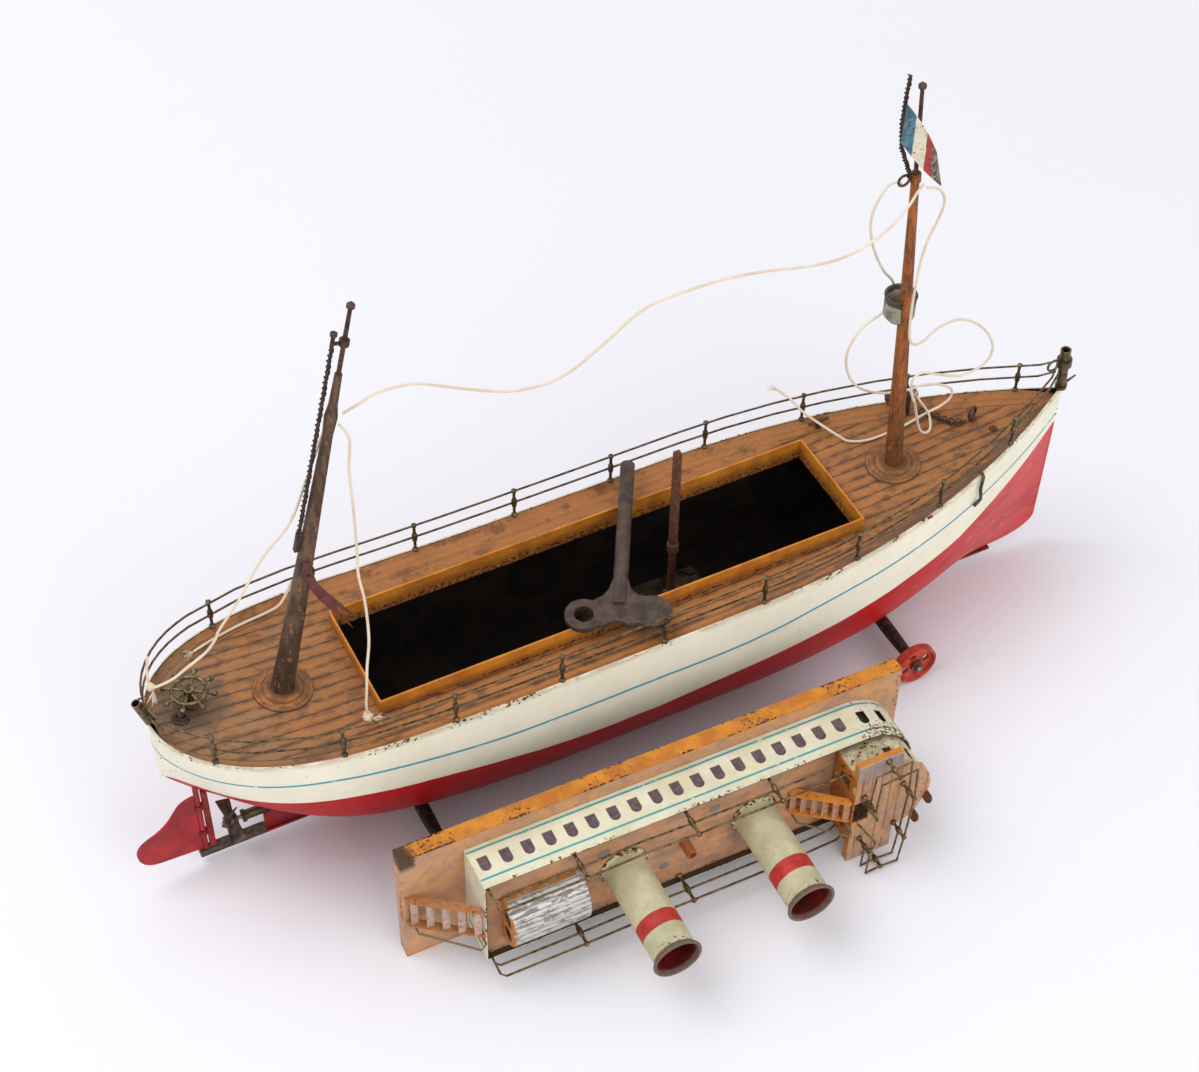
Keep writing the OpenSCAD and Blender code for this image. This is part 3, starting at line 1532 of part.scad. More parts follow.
// A skylight of ribbed metal arched over an orange frame, open at its aft end
module skylight() {
  s0 = cabin_aft + 13;
  l = 55;
  w0 = -25;
  r = 22;
  color(c_silver)
    upper_works()
      translate([s0, w0, roof_z + seat])
        difference() {
          union() {
            cube([l, 45, 6]);
            intersection() {
              translate([0, 22.5, -1])
                rotate([0, 90, 0])
                  cylinder(h = l, r = r);
              translate([-1, 0, 0])
                cube([l + 2, 45, 30]);
            }
            // Ribs
            for (a = [20:17.5:160])
              translate([0.4, 22.5 - (r - 0.3) * cos(a), -1 + (r - 0.3) * sin(a)])
                rotate([0, 90, 0])
                  cylinder(h = l - 0.8, r = 0.9);
          }
          translate([house_sheet, 22.5, -1])
            rotate([0, 90, 0])
              cylinder(h = l - 2 * house_sheet, r = r - 2);
          for (y = [14.5, 30.5])
            translate([-1, y, 9])
              rotate([0, 90, 0])
                cylinder(h = 5, r = 6);
        }
}

// A straight stair: two strings and sloping treads
module stair(l, h, w, steps) {
  for (side = [0, 1])
    translate([0, side * (w - 1), 0])
      rotate([90, 0, 0])
        mirror([0, 0, 1])
          linear_extrude(1)
            polygon([[0, 0], [6, 0], [l, h - 5], [l, h], [l - 2, h], [0, 4]]);
  for (i = [0:steps - 1]) let (f = (i + 0.6) / steps)
    translate([l * f - 3, 0.9, h * f - 0.5])
      cube([5, w - 1.8, 1]);
}

module aft_stair() {
  color(c_orange)
    upper_works() {
      translate([1.6, -14, base_h + seat])
        stair(cabin_aft - 1.8, roof_h - base_h - 1, 28, 5);
      // Handrail
      tube_along([
        [6, -16, base_h + 1], [6, -16.6, base_h + 10], [cabin_aft - 6, -17, roof_h + 6],
        [cabin_aft - 1.4, -17, roof_h + 3], [cabin_aft - 1.4, -16.6, roof_h - 8]
      ], 0.8, 6);
    }
}

module fore_stair() {
  l = 34;
  color(c_orange)
    upper_works() {
      translate([bridge_s - l - 0.4, -10, roof_z + seat])
        stair(l, bridge_h - roof_z - 2.4, 20, 6);
      tube_along([
        [bridge_s - l + 2, -12, roof_z + 1], [bridge_s - l + 2, -12.4, roof_z + 12],
        [bridge_s - 5, -12.6, bridge_h + 8], [bridge_s - 2.6, -12.6, bridge_h + 4],
        [bridge_s - 2.4, -11.2, bridge_h - 10]
      ], 0.8, 6);
    }
}

module bridge_house() {
  t = house_sheet;
  z0 = roof_z + seat;
  z1 = bridge_h - t - seat;
  color(c_cream)
    upper_works()
      difference() {
        translate([0, 0, z0])
          linear_extrude(z1 - z0)
            plan(bridge_s, bridge_nose, bridge_r);
        translate([0, 0, z0 - 1])
          linear_extrude(z1 + 2)
            plan(bridge_s + t, bridge_nose, bridge_r - t);
        for (a = [-75:30:75])
          translate([bridge_nose, 0, 0])
            rotate([0, 0, a - 90])
              translate([0, bridge_r - 2.5, 0])
                window_cut(window_w, roof_z + 11, 12);
        // Openings in the aft wall
        for (w = [-27, 16])
          translate([bridge_s - 1, w, roof_z + 9])
            cube([4, 11, 12]);
      }
}

// Bridge deck: wings with a folded edge, and a bent forward part with two lugs
bridge_wing_l = 34;
bridge_w0 = -house_w / 2 + 0.5;
bridge_w1 = house_w / 2 - 4.5;
bridge_edge_h = 5.6;
module bridge_wings() {
  translate([bridge_s, bridge_w0])
    square([bridge_wing_l, bridge_w1 - bridge_w0]);
}

module bridge_plan() {
  difference() {
    union() {
      bridge_wings();
      translate([bridge_s, 0])
        polygon([
          [30, -34], [bridge_wing_l, -34], [41, -31], [49.5, -26.5], [59, -8], [60.5, 2], [58, 14],
          [51.5, 28], [43, 35], [bridge_wing_l, 40], [30, 40]
        ]);
    }
    // Well over the stair
    translate([bridge_s - 1, -11])
      square([13, 22]);
  }
}

module bridge_lug(s, w, turn) {
  translate([bridge_s + s, w, bridge_h - house_sheet])
    rotate([90, 0, turn])
      linear_extrude(house_sheet, center = true) {
        translate([-3.4, 0])
          square([6.8, 5.8]);
        translate([0, 5.8])
          circle(3.4);
      }
}

module bridge_deck() {
  color(c_tan)
    upper_works() {
      translate([0, 0, bridge_h - house_sheet])
        linear_extrude(house_sheet)
          bridge_plan();
      translate([0, 0, bridge_h - bridge_edge_h])
        linear_extrude(bridge_edge_h - house_sheet / 2)
          difference() {
            bridge_wings();
            translate([bridge_s + house_sheet, bridge_w0 + house_sheet])
              square([bridge_wing_l, bridge_w1 - bridge_w0 - 2 * house_sheet]);
            translate([bridge_s - 1, -bridge_r - 1.5])
              square([4, 2 * bridge_r + 3]);
          }
      bridge_lug(57.4, -9, 63);
      bridge_lug(48.9, -25.6, 63);
    }
}

// Rails of the upper works
roof_posts = [108, 188, 250];
roof_rail_w = cabin_r - 3.6;
roof_post_h = 24;
bridge_post_h = 16;
// Feet of the bridge's posts, from the stair round by starboard, ahead and by port back to it
bridge_posts = [
  [bridge_s + 6.6, 17], [bridge_s + 22, 47.8], [bridge_s + 37, 15], [bridge_s + 34.4, -28],
  [bridge_s + 18.6, bridge_w0 + 2.4], [bridge_s + 7.8, -31]
];
module house_rail_posts() {
  color(c_bronze)
    upper_works()
      for (side = [-1, 1]) {
        for (s = roof_posts)
          translate([s, side * roof_rail_w, roof_z + seat])
            baluster(roof_post_h);
      }
  color(c_bronze)
    upper_works()
      for (foot = bridge_posts)
        translate([foot[0], foot[1], bridge_h + seat])
          baluster(bridge_post_h);
}

function roof_rail(side, h) = [
  [cabin_aft + 3, side * roof_rail_w, roof_z + 1], [cabin_aft + 3, side * roof_rail_w, roof_z + h - 3],
  [cabin_aft + 6, side * roof_rail_w, roof_z + h], [roof_posts[0], side * roof_rail_w, roof_z + h],
  [150, side * (roof_rail_w + 0.5), roof_z + h - 0.8], [roof_posts[1], side * roof_rail_w, roof_z + h],
  [roof_posts[2], side * roof_rail_w, roof_z + h], [bridge_s - 4, side * (roof_rail_w - 1), roof_z + h - 1],
  [bridge_s - 0.8, side * (roof_rail_w - 5), roof_z + h - 1]
];
// Round the posts, with a corner beyond each of them
function bridge_wire(h) = let (z = bridge_h + h, q = bridge_posts, port = bridge_w0 + 1) [
  [q[0][0], q[0][1], z], [bridge_s + 8.5, 47, z], [q[1][0], q[1][1], z], [bridge_s + 35.5, 49, z],
  [q[2][0], q[2][1], z], [q[3][0], q[3][1], z], [bridge_s + 32, port, z], [q[4][0], q[4][1], z],
  [bridge_s + 7, port, z], [q[5][0], q[5][1], z]
];
// The upper wire goes down to the deck at both ends
function bridge_top_wire(h) = concat(
  [[bridge_s + 5, 13.4, bridge_h + 0.9], [bridge_s + 9.8, 6, bridge_h + h]],
  bridge_wire(h),
  [[bridge_s + 11, -20, bridge_h + h], [bridge_s + 4.8, -12.6, bridge_h + 0.9]]
);
module house_rail_wires() {
  color(c_bronze)
    upper_works() {
      for (side = [-1, 1])
        for (h = [0.55, 0.93] * roof_post_h)
          tube_along(roof_rail(side, h), 0.8, 6);
      tube_along(bridge_wire(0.5 * bridge_post_h), 0.8, 6);
      tube_along(bridge_top_wire(0.93 * bridge_post_h), 0.8, 6);
    }
}

// Loose twine
module twine(route, steps) {
  color(c_twine)
    tube_along(spline(route, steps), twine_d / 2, twine_sides);
}

module twine_stern() {
  twine(stern_route, 3);
}

module twine_span() {
  twine(span_route, 2);
}

module twine_drop() {
  twine(drop_route, 3);
}

module twine_port() {
  twine(port_route, 3);
}

module twine_fore_loops() {
  twine(fore_loop_route, 3);
}

module twine_fore_drop() {
  twine(fore_drop_route, 3);
}

hull();
keel();
main_deck();
hatch_coaming();
rail_posts();
rail_wires();
mast_flanges();
aft_mast();
fore_mast();
masthead_rods();
mast_stays();
pennant();
flag();
crows_nest();
stern_socket();
bow_socket();
deck_fittings();
anchor_chain();
axle_tubes();
lower_plate();
upper_plate();
frame_pillars();
stern_tube();
rudder();
rudder_stock();
steering_wheel();
propeller();
propeller_shaft();
contrate_wheel();
second_wheel();
great_wheel();
spring_barrel();
winding_arbor();
winding_rod();
click();
fore_axle();
fore_wheels();
aft_axle();
aft_wheels();
windlass();
key();
house_base();
cabin();
boat_deck();
aft_stair();
skylight();
aft_funnel();
fore_funnel();
fore_stair();
bridge_house();
bridge_deck();
house_rail_posts();
house_rail_wires();
twine_stern();
twine_span();
twine_drop();
twine_port();
twine_fore_loops();
twine_fore_drop();
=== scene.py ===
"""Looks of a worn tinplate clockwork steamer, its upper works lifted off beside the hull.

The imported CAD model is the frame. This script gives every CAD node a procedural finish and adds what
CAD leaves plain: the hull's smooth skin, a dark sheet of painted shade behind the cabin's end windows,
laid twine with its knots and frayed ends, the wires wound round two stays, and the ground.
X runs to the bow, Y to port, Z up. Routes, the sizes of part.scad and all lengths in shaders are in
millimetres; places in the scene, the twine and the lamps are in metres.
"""
import math
import random

import bpy
import numpy as np
from mathutils import Matrix, Vector


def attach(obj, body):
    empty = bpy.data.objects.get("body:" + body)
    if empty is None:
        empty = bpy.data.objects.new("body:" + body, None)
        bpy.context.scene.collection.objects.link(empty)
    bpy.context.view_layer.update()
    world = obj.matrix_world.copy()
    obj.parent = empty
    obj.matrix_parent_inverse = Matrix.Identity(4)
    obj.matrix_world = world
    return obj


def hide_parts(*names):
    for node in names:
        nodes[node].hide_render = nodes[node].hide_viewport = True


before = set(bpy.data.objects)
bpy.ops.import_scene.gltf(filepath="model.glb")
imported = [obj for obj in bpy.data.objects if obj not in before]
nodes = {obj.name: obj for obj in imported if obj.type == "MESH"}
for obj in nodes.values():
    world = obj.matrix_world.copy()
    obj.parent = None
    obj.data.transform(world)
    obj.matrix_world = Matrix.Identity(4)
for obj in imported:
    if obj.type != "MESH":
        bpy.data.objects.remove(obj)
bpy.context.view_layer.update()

MM = 0.001
GROUND = -0.008

# ---- camera

EYE = Vector((-0.5126, -0.9152, 1.3084))
AZIMUTH = math.radians(27.84)
ELEVATION = math.radians(47.57)
ROLL = math.radians(-1.13)
FOCAL_MM = 68.63
SENSOR_MM = 36.0


def add_object(name, data):
    obj = bpy.data.objects.new(name, data)
    bpy.context.scene.collection.objects.link(obj)
    return obj


def add_camera():
    data = bpy.data.cameras.new("camera")
    data.lens, data.sensor_width = FOCAL_MM, SENSOR_MM
    data.clip_start, data.clip_end = 0.05, 30
    camera = add_object("camera", data)
    camera.matrix_world = (Matrix.Translation(EYE) @ Matrix.Rotation(-AZIMUTH, 4, "Z")
                           @ Matrix.Rotation(math.pi / 2 - ELEVATION, 4, "X") @ Matrix.Rotation(-ROLL, 4, "Z"))
    bpy.context.scene.camera = camera


# ---- meshes

def add_mesh(name, points, faces, smooth=True):
    mesh = bpy.data.meshes.new(name)
    mesh.from_pydata([tuple(p) for p in points], [], faces)
    mesh.validate()
    mesh.polygons.foreach_set("use_smooth", [smooth] * len(mesh.polygons))
    mesh.update()
    return add_object(name, mesh)


def spline(points):
    """The smooth path that part.scad draws through its chosen points, as an array in metres."""
    p = np.array(points, float) * MM
    out = []
    for i in range(len(p) - 1):
        a, b, c, d = p[max(i - 1, 0)], p[i], p[i + 1], p[min(i + 2, len(p) - 1)]
        for t in np.arange(SPLINE_STEPS) / SPLINE_STEPS:
            out.append(0.5 * (2 * b + (c - a) * t + (2 * a - 5 * b + 4 * c - d) * t ** 2
                              + (3 * b - a - 3 * c + d) * t ** 3))
    out.append(p[-1])
    return np.array(out)


def distances(path):
    """How far along the path each of its points is."""
    return np.concatenate([[0], np.cumsum(np.linalg.norm(np.diff(path, axis=0), axis=1))])


def even_path(path):
    """The same path with points YARN_STEP apart, and the distance along it at each."""
    lengths = distances(path)
    count = max(int(round(lengths[-1] / YARN_STEP)), 4)
    along = np.linspace(0, lengths[-1], count + 1)
    return np.stack([np.interp(along, lengths, path[:, i]) for i in range(3)], axis=1), along


def path_frames(path):
    """Two directions square to the path at each point, carried along it without twist."""
    forward = np.gradient(path, axis=0)
    forward /= np.linalg.norm(forward, axis=1)[:, None]
    side = np.array([0.31, 0.83, 0.47])
    first = []
    for d in forward:
        side = side - d * side.dot(d)
        side /= np.linalg.norm(side)
        first.append(side)
    first = np.array(first)
    return first, np.cross(forward, first)


def sweep(path, radius, sides):
    """Points and faces of a closed tube; radius(along, angle) gives metres from the path."""
    first, second = path_frames(path)
    angle = np.linspace(0, 2 * math.pi, sides, endpoint=False)
    r = radius(distances(path)[:, None], angle[None, :]) * np.ones((len(path), sides))
    points = (path[:, None, :] + r[..., None] * (np.cos(angle)[None, :, None] * first[:, None, :]
                                                + np.sin(angle)[None, :, None] * second[:, None, :]))
    rings = len(path)
    faces = []
    for i in range(rings - 1):
        for k in range(sides):
            n = (k + 1) % sides
            faces.append((i * sides + k, i * sides + n, (i + 1) * sides + n, (i + 1) * sides + k))
    faces.append(tuple(reversed(range(sides))))
    faces.append(tuple((rings - 1) * sides + k for k in range(sides)))
    return list(points.reshape(-1, 3)), faces


def join_parts(name, parts):
    """One object out of several (points, faces) pairs."""
    points, faces = [], []
    for part_points, part_faces in parts:
        start = len(points)
        points.extend(part_points)
        faces.extend(tuple(start + i for i in f) for f in part_faces)
    return add_mesh(name, points, faces)


# ---- twine

TWINE_D = 0.002
TWINE_TURN = 0.0062
PLIES = 3
YARN_STEP = 0.0005
YARN_SIDES = 18
SPLINE_STEPS = 10
FIBRE_R = 0.00016
FIBRE_LEN = 0.009
FIBRES = 16

STERN_ROUTE = [
    [-336, 31, 181.5], [-338.5, 26.5, 177], [-341, 19, 174], [-341.5, 12, 174.2], [-337, 9.2, 176],
    [-327, 9, 178], [-317, 8, 185], [-304, 7, 194], [-297, 6, 204], [-293, 6, 212], [-278, 5, 234],
    [-260, 5, 263], [-240, 5, 285], [-226, 5, 318], [-217, 5.4, 340], [-209, 5.6, 358],
]
SPAN_ROUTE = [
    [-202.4, -4, 370], [-192, -6.4, 376], [-183, -6, 379], [-168, -5, 378], [-153, -4, 373],
    [-137, -4, 364], [-121, -4, 355], [-106, -4, 347], [-91, -4, 341], [-71, -4, 338], [-58, -4, 340],
    [-47, -4, 345], [-27, -4, 358], [-16, -4, 366], [-6, -4, 372], [6, -4, 375], [21, -4, 376],
    [38, -4, 376], [56, -4, 375], [74, -4, 372], [92, -4, 368], [111, -4, 363], [130, -4, 360],
    [141, -4, 360], [152, -4, 362], [166, -5, 369], [176, -6.4, 379], [183, -7.6, 390], [188, -6.8, 397],
    [193, -6, 401.5],
]
DROP_ROUTE = [
    [-205.6, -4.6, 363], [-201.6, -8.4, 354], [-203, -11, 343], [-205, -13, 332], [-206, -17, 302],
    [-208, -22, 271], [-210, -26, 254], [-209, -30, 235], [-210, -35, 216], [-212, -39, 202],
    [-216, -43, 186], [-219, -47, 170], [-221, -49, 158], [-221, -50, 147],
]
PORT_ROUTE = [
    [-224, 70.4, 157.2], [-229, 69, 149.4], [-236, 66.2, 143.1], [-244, 65, 141.8], [-252, 64, 141.8],
    [-264, 62, 142.8], [-276, 59.4, 143.7], [-288, 55.8, 144.9], [-297, 52.5, 146], [-302, 50.4, 146.6],
]
FORE_LOOP_ROUTE = [
    [182, 2.6, 400], [177, 7, 398], [170.5, 10, 383], [169, 12, 365.5], [175, 14, 341.5],
    [187.5, 17, 315], [200, 21.5, 297], [204, 23.5, 283], [198, 22.5, 270.5], [180, 20.5, 264],
    [170, 20, 248], [172.5, 22, 226], [185, 24, 203], [207, 26, 186], [230, 27.5, 177.5], [245, 28, 176],
    [259, 27.5, 171], [268.5, 25, 165], [268.5, 24, 157], [262, 24.5, 151.5], [254, 25.5, 148.5],
    [246, 26.5, 145.5], [238, 27, 142.5], [229, 26.6, 141.2], [204, 26.9, 139.9], [190, 32.5, 139.5],
    [184, 38, 142.6], [176.5, 44, 148.5], [164, 55.5, 159], [157, 63.5, 168.4], [149.5, 70, 175.5],
]
FORE_DROP_ROUTE = [
    [193, -9, 401], [201.5, -11.5, 398], [206.5, -12, 387], [203.5, -12, 373], [197.5, -12, 357],
    [194.5, -12, 338], [193.5, -12, 309], [193.5, -12.5, 288], [195, -13, 274], [200, -13.5, 268],
    [207, -14, 270], [217, -14, 277], [234, -14, 277.5], [253.5, -14, 263], [266, -14, 241],
    [262, -14, 226], [243, -14, 222], [221, -14.5, 233], [208, -15, 240], [200.5, -16, 238],
    [200.5, -16, 228], [204, -15, 217], [212, -6, 204], [222, 6, 190], [230.5, 12.5, 168],
    [235, 13.5, 153], [238, 12.5, 146], [243, 12, 143.2], [247.5, 15, 144], [249, 20, 150],
    [245, 21.5, 159], [240, 21, 167], [236, 20.5, 174],
]


def plied(outer):
    """Outline of laid plies that turn along the tube, for sweep."""
    offset, ply = 0.48 * outer, 0.52 * outer

    def radius(along, angle):
        turned = (angle - 2 * math.pi * along / TWINE_TURN) % (2 * math.pi / PLIES) - math.pi / PLIES
        return offset * np.cos(turned) + np.sqrt(ply ** 2 - (offset * np.sin(turned)) ** 2)

    return radius


def frayed_end(rng, tip, direction):
    """Loose fibres that spread from a cut end."""
    parts = []
    for _ in range(FIBRES):
        heading = direction + np.array([rng.uniform(-1, 1) for _ in range(3)]) * 0.45
        heading /= np.linalg.norm(heading)
        bend = np.array([rng.uniform(-1, 1) for _ in range(3)]) * 0.25
        reach = FIBRE_LEN * rng.uniform(0.5, 1)
        path = np.array([tip + heading * reach * t + bend * reach * t * t for t in np.linspace(0, 1, 6)])
        parts.append(sweep(path, lambda along, angle: FIBRE_R, 5))
    return parts


def knot(rng, centre, size, turns):
    """Yarn wound over and under itself into a small tight knot."""
    t = np.linspace(0, 2 * math.pi * turns, int(60 * turns))
    tilt = Matrix.Rotation(rng.uniform(0, 3), 3, Vector((1, 0.4, 0.2)).normalized())
    wobble = size * (0.62 + 0.2 * np.cos(3.4 * t))
    path = np.stack([wobble * np.cos(t), wobble * np.sin(t), 0.62 * size * np.sin(2.3 * t + 1)], axis=1)
    path = np.array([centre + np.array(tilt @ Vector(q)) for q in path])
    return sweep(even_path(path)[0], plied(TWINE_D / 2), YARN_SIDES)


def twine(name, route, material, body="ship", knots=(), ends=()):
    """A free length of twine in place of its plain tube, with the knots and cut ends it carries.

    knots are (centre, size, turns) and ends are (tip, direction), in millimetres."""
    path = even_path(spline(route))[0]
    cord = add_mesh(name + "_yarn", *sweep(path, plied(TWINE_D / 2), YARN_SIDES))
    cord.data.materials.append(material)
    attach(cord, body)
    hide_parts(name)
    rng = random.Random(name)
    parts = [knot(rng, np.array(centre) * MM, size * MM, turns) for centre, size, turns in knots]
    for tip, direction in ends:
        parts += frayed_end(rng, np.array(tip) * MM, np.array(direction) / np.linalg.norm(direction))
    if parts:
        piece = join_parts(name + "_knots", parts)
        piece.data.materials.append(material)
        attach(piece, body)


# ---- sizes and places of part.scad

HALF_LEN = 350
HALF_BEAM = 76
HULL_HEIGHT = 139
SHEER_STERN = 18
SHEER_BOW = 15
STERN_ROUND = 180
BOW_TAPER = 300
STERN_POWER = 3
BOW_POWER = 2.2
STERN_RUN = 150
COUNTER_RISE = 100
KEEL_T = 2
FOREFOOT_LEN = 40
FOREFOOT_RISE = 18
SHEET = 1.2
STEM_HALF = 0.8
END_WALL = 3
AFT_MAST_X, FORE_MAST_X = -260, 207
AFT_AXLE_X, FORE_AXLE_X, AXLE_Z = -184, 192, 9
HELM_X, HELM_Y = -319, 8
NEST_X, NEST_Y, NEST_TOP, NEST_LOW = 198.2, 7.5, 295.5, 278.6
HATCH_AFT, HATCH_FORE, HATCH_HALF = -204.6, 149, 41.2
COAMING_TOP = 146.2
FLAG_WHITE_X, FLAG_RED_X, FLAG_BARE_X = 177.9, 187.8, 194.5
DECK_PITCH = 9
DECK_MARGIN = 11.5
STOCK_BARE_Z = 100
HEEL_AFT, HEEL_FORE, HEEL_TOP = -334, -286, 7.5

# The upper works have their own frame: along them from their aft end, across, and up from their underside
HOUSE_START = (-238, -122, 47)
HOUSE_YAW = math.radians(-1.2)
SKIRT_HALF = 54
BASE_TOP = 9.6
CABIN_AFT = 44
CABIN_R = 42
NOSE = 322
WINDOWS = 17
WINDOW_FIRST, WINDOW_LAST = CABIN_AFT + 8, NOSE - 9.3
WINDOW_HALF, WINDOW_SILL, WINDOW_RISE = 3.65, 20.8, 11.3
CABIN_LINES = 14.5, 37.5
DOORS = -28.5, -13.5
DOOR_HALF = 5.5
ROOF = 44
ROOF_TUBE = 190
FUNNEL_MOUTH = 116.6
FUNNEL_R = 14.4
BAND_LOW, BAND_TOP = 89, 100
BRIDGE_AFT, BRIDGE_FLOOR, BRIDGE_HALF, BRIDGE_PITCH = 304.4, 68.7, 49, 7.5
SKYLIGHT_PITCH = 3.1


# ---- shaders

# Colours are the 0-255 values of the screen; Tree.node turns them into what a socket needs
CREAM = (240, 235, 213)
RED = (182, 9, 14)
# Paler red towards the bow: partly faded paint, partly a painted reflection of the gloss there
RED_FADE_AND_SHEEN = (203, 72, 72)
TEAL = (64, 156, 176)
TEAL_GREEN = (70, 158, 160)
PLANK = (168, 110, 60)
PLANK_DARK = (138, 88, 49)
INK = (58, 42, 32)
DECK_GREY = (136, 110, 84)
ORANGE = (208, 133, 40)
ORANGE_DEEP = (182, 108, 34)
TAN = (208, 150, 100)
TAN_PINK = (186, 144, 114)
CABIN = (224, 220, 200)
WINDOW = (104, 88, 94)
FUNNEL = (199, 193, 157)
BAND = (186, 50, 42)
RUST = (118, 66, 38)
RUST_DARK = (54, 36, 27)
BLACK_IRON = (34, 28, 25)
BRONZE = (118, 101, 72)


def linear(colour):
    shares = [v / 255 for v in colour]
    return [v / 12.92 if v <= 0.04045 else ((v + 0.055) / 1.055) ** 2.4 for v in shares] + [1]


class Tree:
    """A node tree in the making. A socket, a number, a colour as a tuple or a vector as a list can go in."""

    def __init__(self, owner):
        owner.use_nodes = True
        self.tree = owner.node_tree
        self.tree.nodes.clear()

    def node(self, kind, inputs=None, **settings):
        made = self.tree.nodes.new(kind)
        for key, value in settings.items():
            setattr(made, key, value)
        for key, value in (inputs or {}).items():
            if isinstance(value, bpy.types.NodeSocket):
                self.tree.links.new(value, made.inputs[key])
            else:
                made.inputs[key].default_value = linear(value) if isinstance(value, tuple) else value
        return made

    def math(self, operation, a, b=0.0, clamp=False):
        return self.node("ShaderNodeMath", {0: a, 1: b}, operation=operation, use_clamp=clamp).outputs[0]

    def fold(self, operation, values):
        total = values[0]
        for value in values[1:]:
            total = self.math(operation, total, value)
        return total

    def add(self, *values):
        return self.fold("ADD", values)

    def mul(self, *values):
        return self.fold("MULTIPLY", values)

    def top(self, *values):
        return self.fold("MAXIMUM", values)

    def low(self, *values):
        return self.fold("MINIMUM", values)

    def sub(self, a, b):
        return self.math("SUBTRACT", a, b)

    def size(self, a):
        return self.math("ABSOLUTE", a)

    def reach(self, a, b):
        """The distance that a and b make as two sides of a right angle."""
        return self.math("SQRT", self.add(self.math("POWER", a, 2), self.math("POWER", b, 2)))

    def fit(self, mask, low, high):
        """From low where the mask is 0 to high where it is 1."""
        return self.add(low, self.mul(mask, high - low))

    def seen(self):
        """1 for what the camera sees, straight or in a reflection."""
        path = self.node("ShaderNodeLightPath")
        return self.top(path.outputs["Is Camera Ray"], path.outputs["Is Glossy Ray"])


class Shader(Tree):
    """One material, placed by the object's own coordinates in millimetres."""

    def __init__(self, name):
        self.material = bpy.data.materials.new(name)
        super().__init__(self.material)
        metres = self.node("ShaderNodeTexCoord").outputs["Object"]
        scaled = self.node("ShaderNodeVectorMath", {0: metres, "Scale": 1 / MM}, operation="SCALE")
        self.place = scaled.outputs[0]
        self.x, self.y, self.z = self.node("ShaderNodeSeparateXYZ", {0: self.place}).outputs

    def over(self, value, edge, soft):
        """0 below edge, 1 above it, with a change soft wide."""
        ends = {"Value": value, "From Min": self.sub(edge, soft / 2), "From Max": self.add(edge, soft / 2)}
        return self.node("ShaderNodeMapRange", ends, interpolation_type="SMOOTHSTEP").outputs[0]

    def under(self, value, edge, soft):
        return self.sub(1, self.over(value, edge, soft))

    def between(self, value, start, end, soft):
        return self.mul(self.over(value, start, soft), self.under(value, end, soft))

    def near(self, value, half, soft):
        """1 where the value is within half of 0."""
        return self.under(self.size(value), half, soft)

    def noise(self, size, detail=3.0, rough=0.55, stretch=None, shift=0.0):
        """Noise whose blotches are about size across, pulled out by the stretch along each axis."""
        vector = self.place
        if stretch or shift:
            vector = self.node("ShaderNodeMapping", {
                "Vector": vector, "Scale": [1 / s for s in (stretch or (1, 1, 1))],
                "Location": [shift, shift * 0.7, shift * 1.3]}).outputs[0]
        return self.node("ShaderNodeTexNoise", {
            "Vector": vector, "Scale": 1 / size, "Detail": detail, "Roughness": rough}).outputs["Fac"]

    def spots(self, edge, soft, *noise, **how):
        """1 where the noise is over the edge."""
        return self.over(self.noise(*noise, **how), edge, soft)

    def ragged(self, value, span, *noise, **how):
        """The value, raised by up to span of noise."""
        return self.add(value, self.mul(self.noise(*noise, **how), span))

    def wander(self, span, *noise, **how):
        """Noise to both sides of 0, span wide."""
        return self.mul(self.sub(self.noise(*noise, **how), 0.5), span)

    def mix(self, factor, a, b):
        return self.node("ShaderNodeMix", {0: factor, 6: a, 7: b}, data_type="RGBA").outputs[2]

    def blotch(self, a, b, *noise, soft=0.3, **how):
        """Two colours in blotches."""
        return self.mix(self.spots(0.5, soft, *noise, **how), a, b)

    def lay(self, colour, tone, mask, strength):
        """The tone over the colour where the mask is, at that strength."""
        return self.mix(self.mul(mask, strength), colour, tone)

    def repeat(self, value, pitch):
        """Distance from the nearest multiple of pitch."""
        share = self.math("FRACT", self.add(self.math("DIVIDE", value, pitch), 0.5))
        return self.mul(self.size(self.sub(share, 0.5)), pitch)

    def chance(self, value, pitch):
        """One random number for each strip of that pitch."""
        strip = self.math("FLOOR", self.add(self.math("DIVIDE", value, pitch), 0.5))
        return self.node("ShaderNodeTexWhiteNoise", {"W": strip}, noise_dimensions="1D").outputs["Value"]

    def normal(self, height, distance_mm, strength=0.6):
        bump = {"Height": height, "Distance": distance_mm * MM, "Strength": strength}
        return self.node("ShaderNodeBump", bump).outputs[0]

    def done(self, colour, rough, metal, normal, sheen=0, specular=0.5, fade=None):
        """Ends the material; fade, from 0 to 1, is how far it gives way to the white behind."""
        surface = self.node("ShaderNodeBsdfPrincipled", {
            "Base Color": colour, "Roughness": rough, "Metallic": metal, "Normal": normal,
            "Sheen Weight": sheen, "Specular IOR Level": specular}).outputs[0]
        if fade is not None:
            white = self.node("ShaderNodeEmission").outputs[0]
            surface = self.node("ShaderNodeMixShader", {0: fade, 1: surface, 2: white}).outputs[0]
        self.node("ShaderNodeOutputMaterial", {0: surface})
        return self.material


def rust_colour(s):
    """Bare sheet where the paint has gone: brown rust with near-black patches."""
    return s.blotch(RUST_DARK, RUST, 2.2, 5, shift=11, soft=0.16)


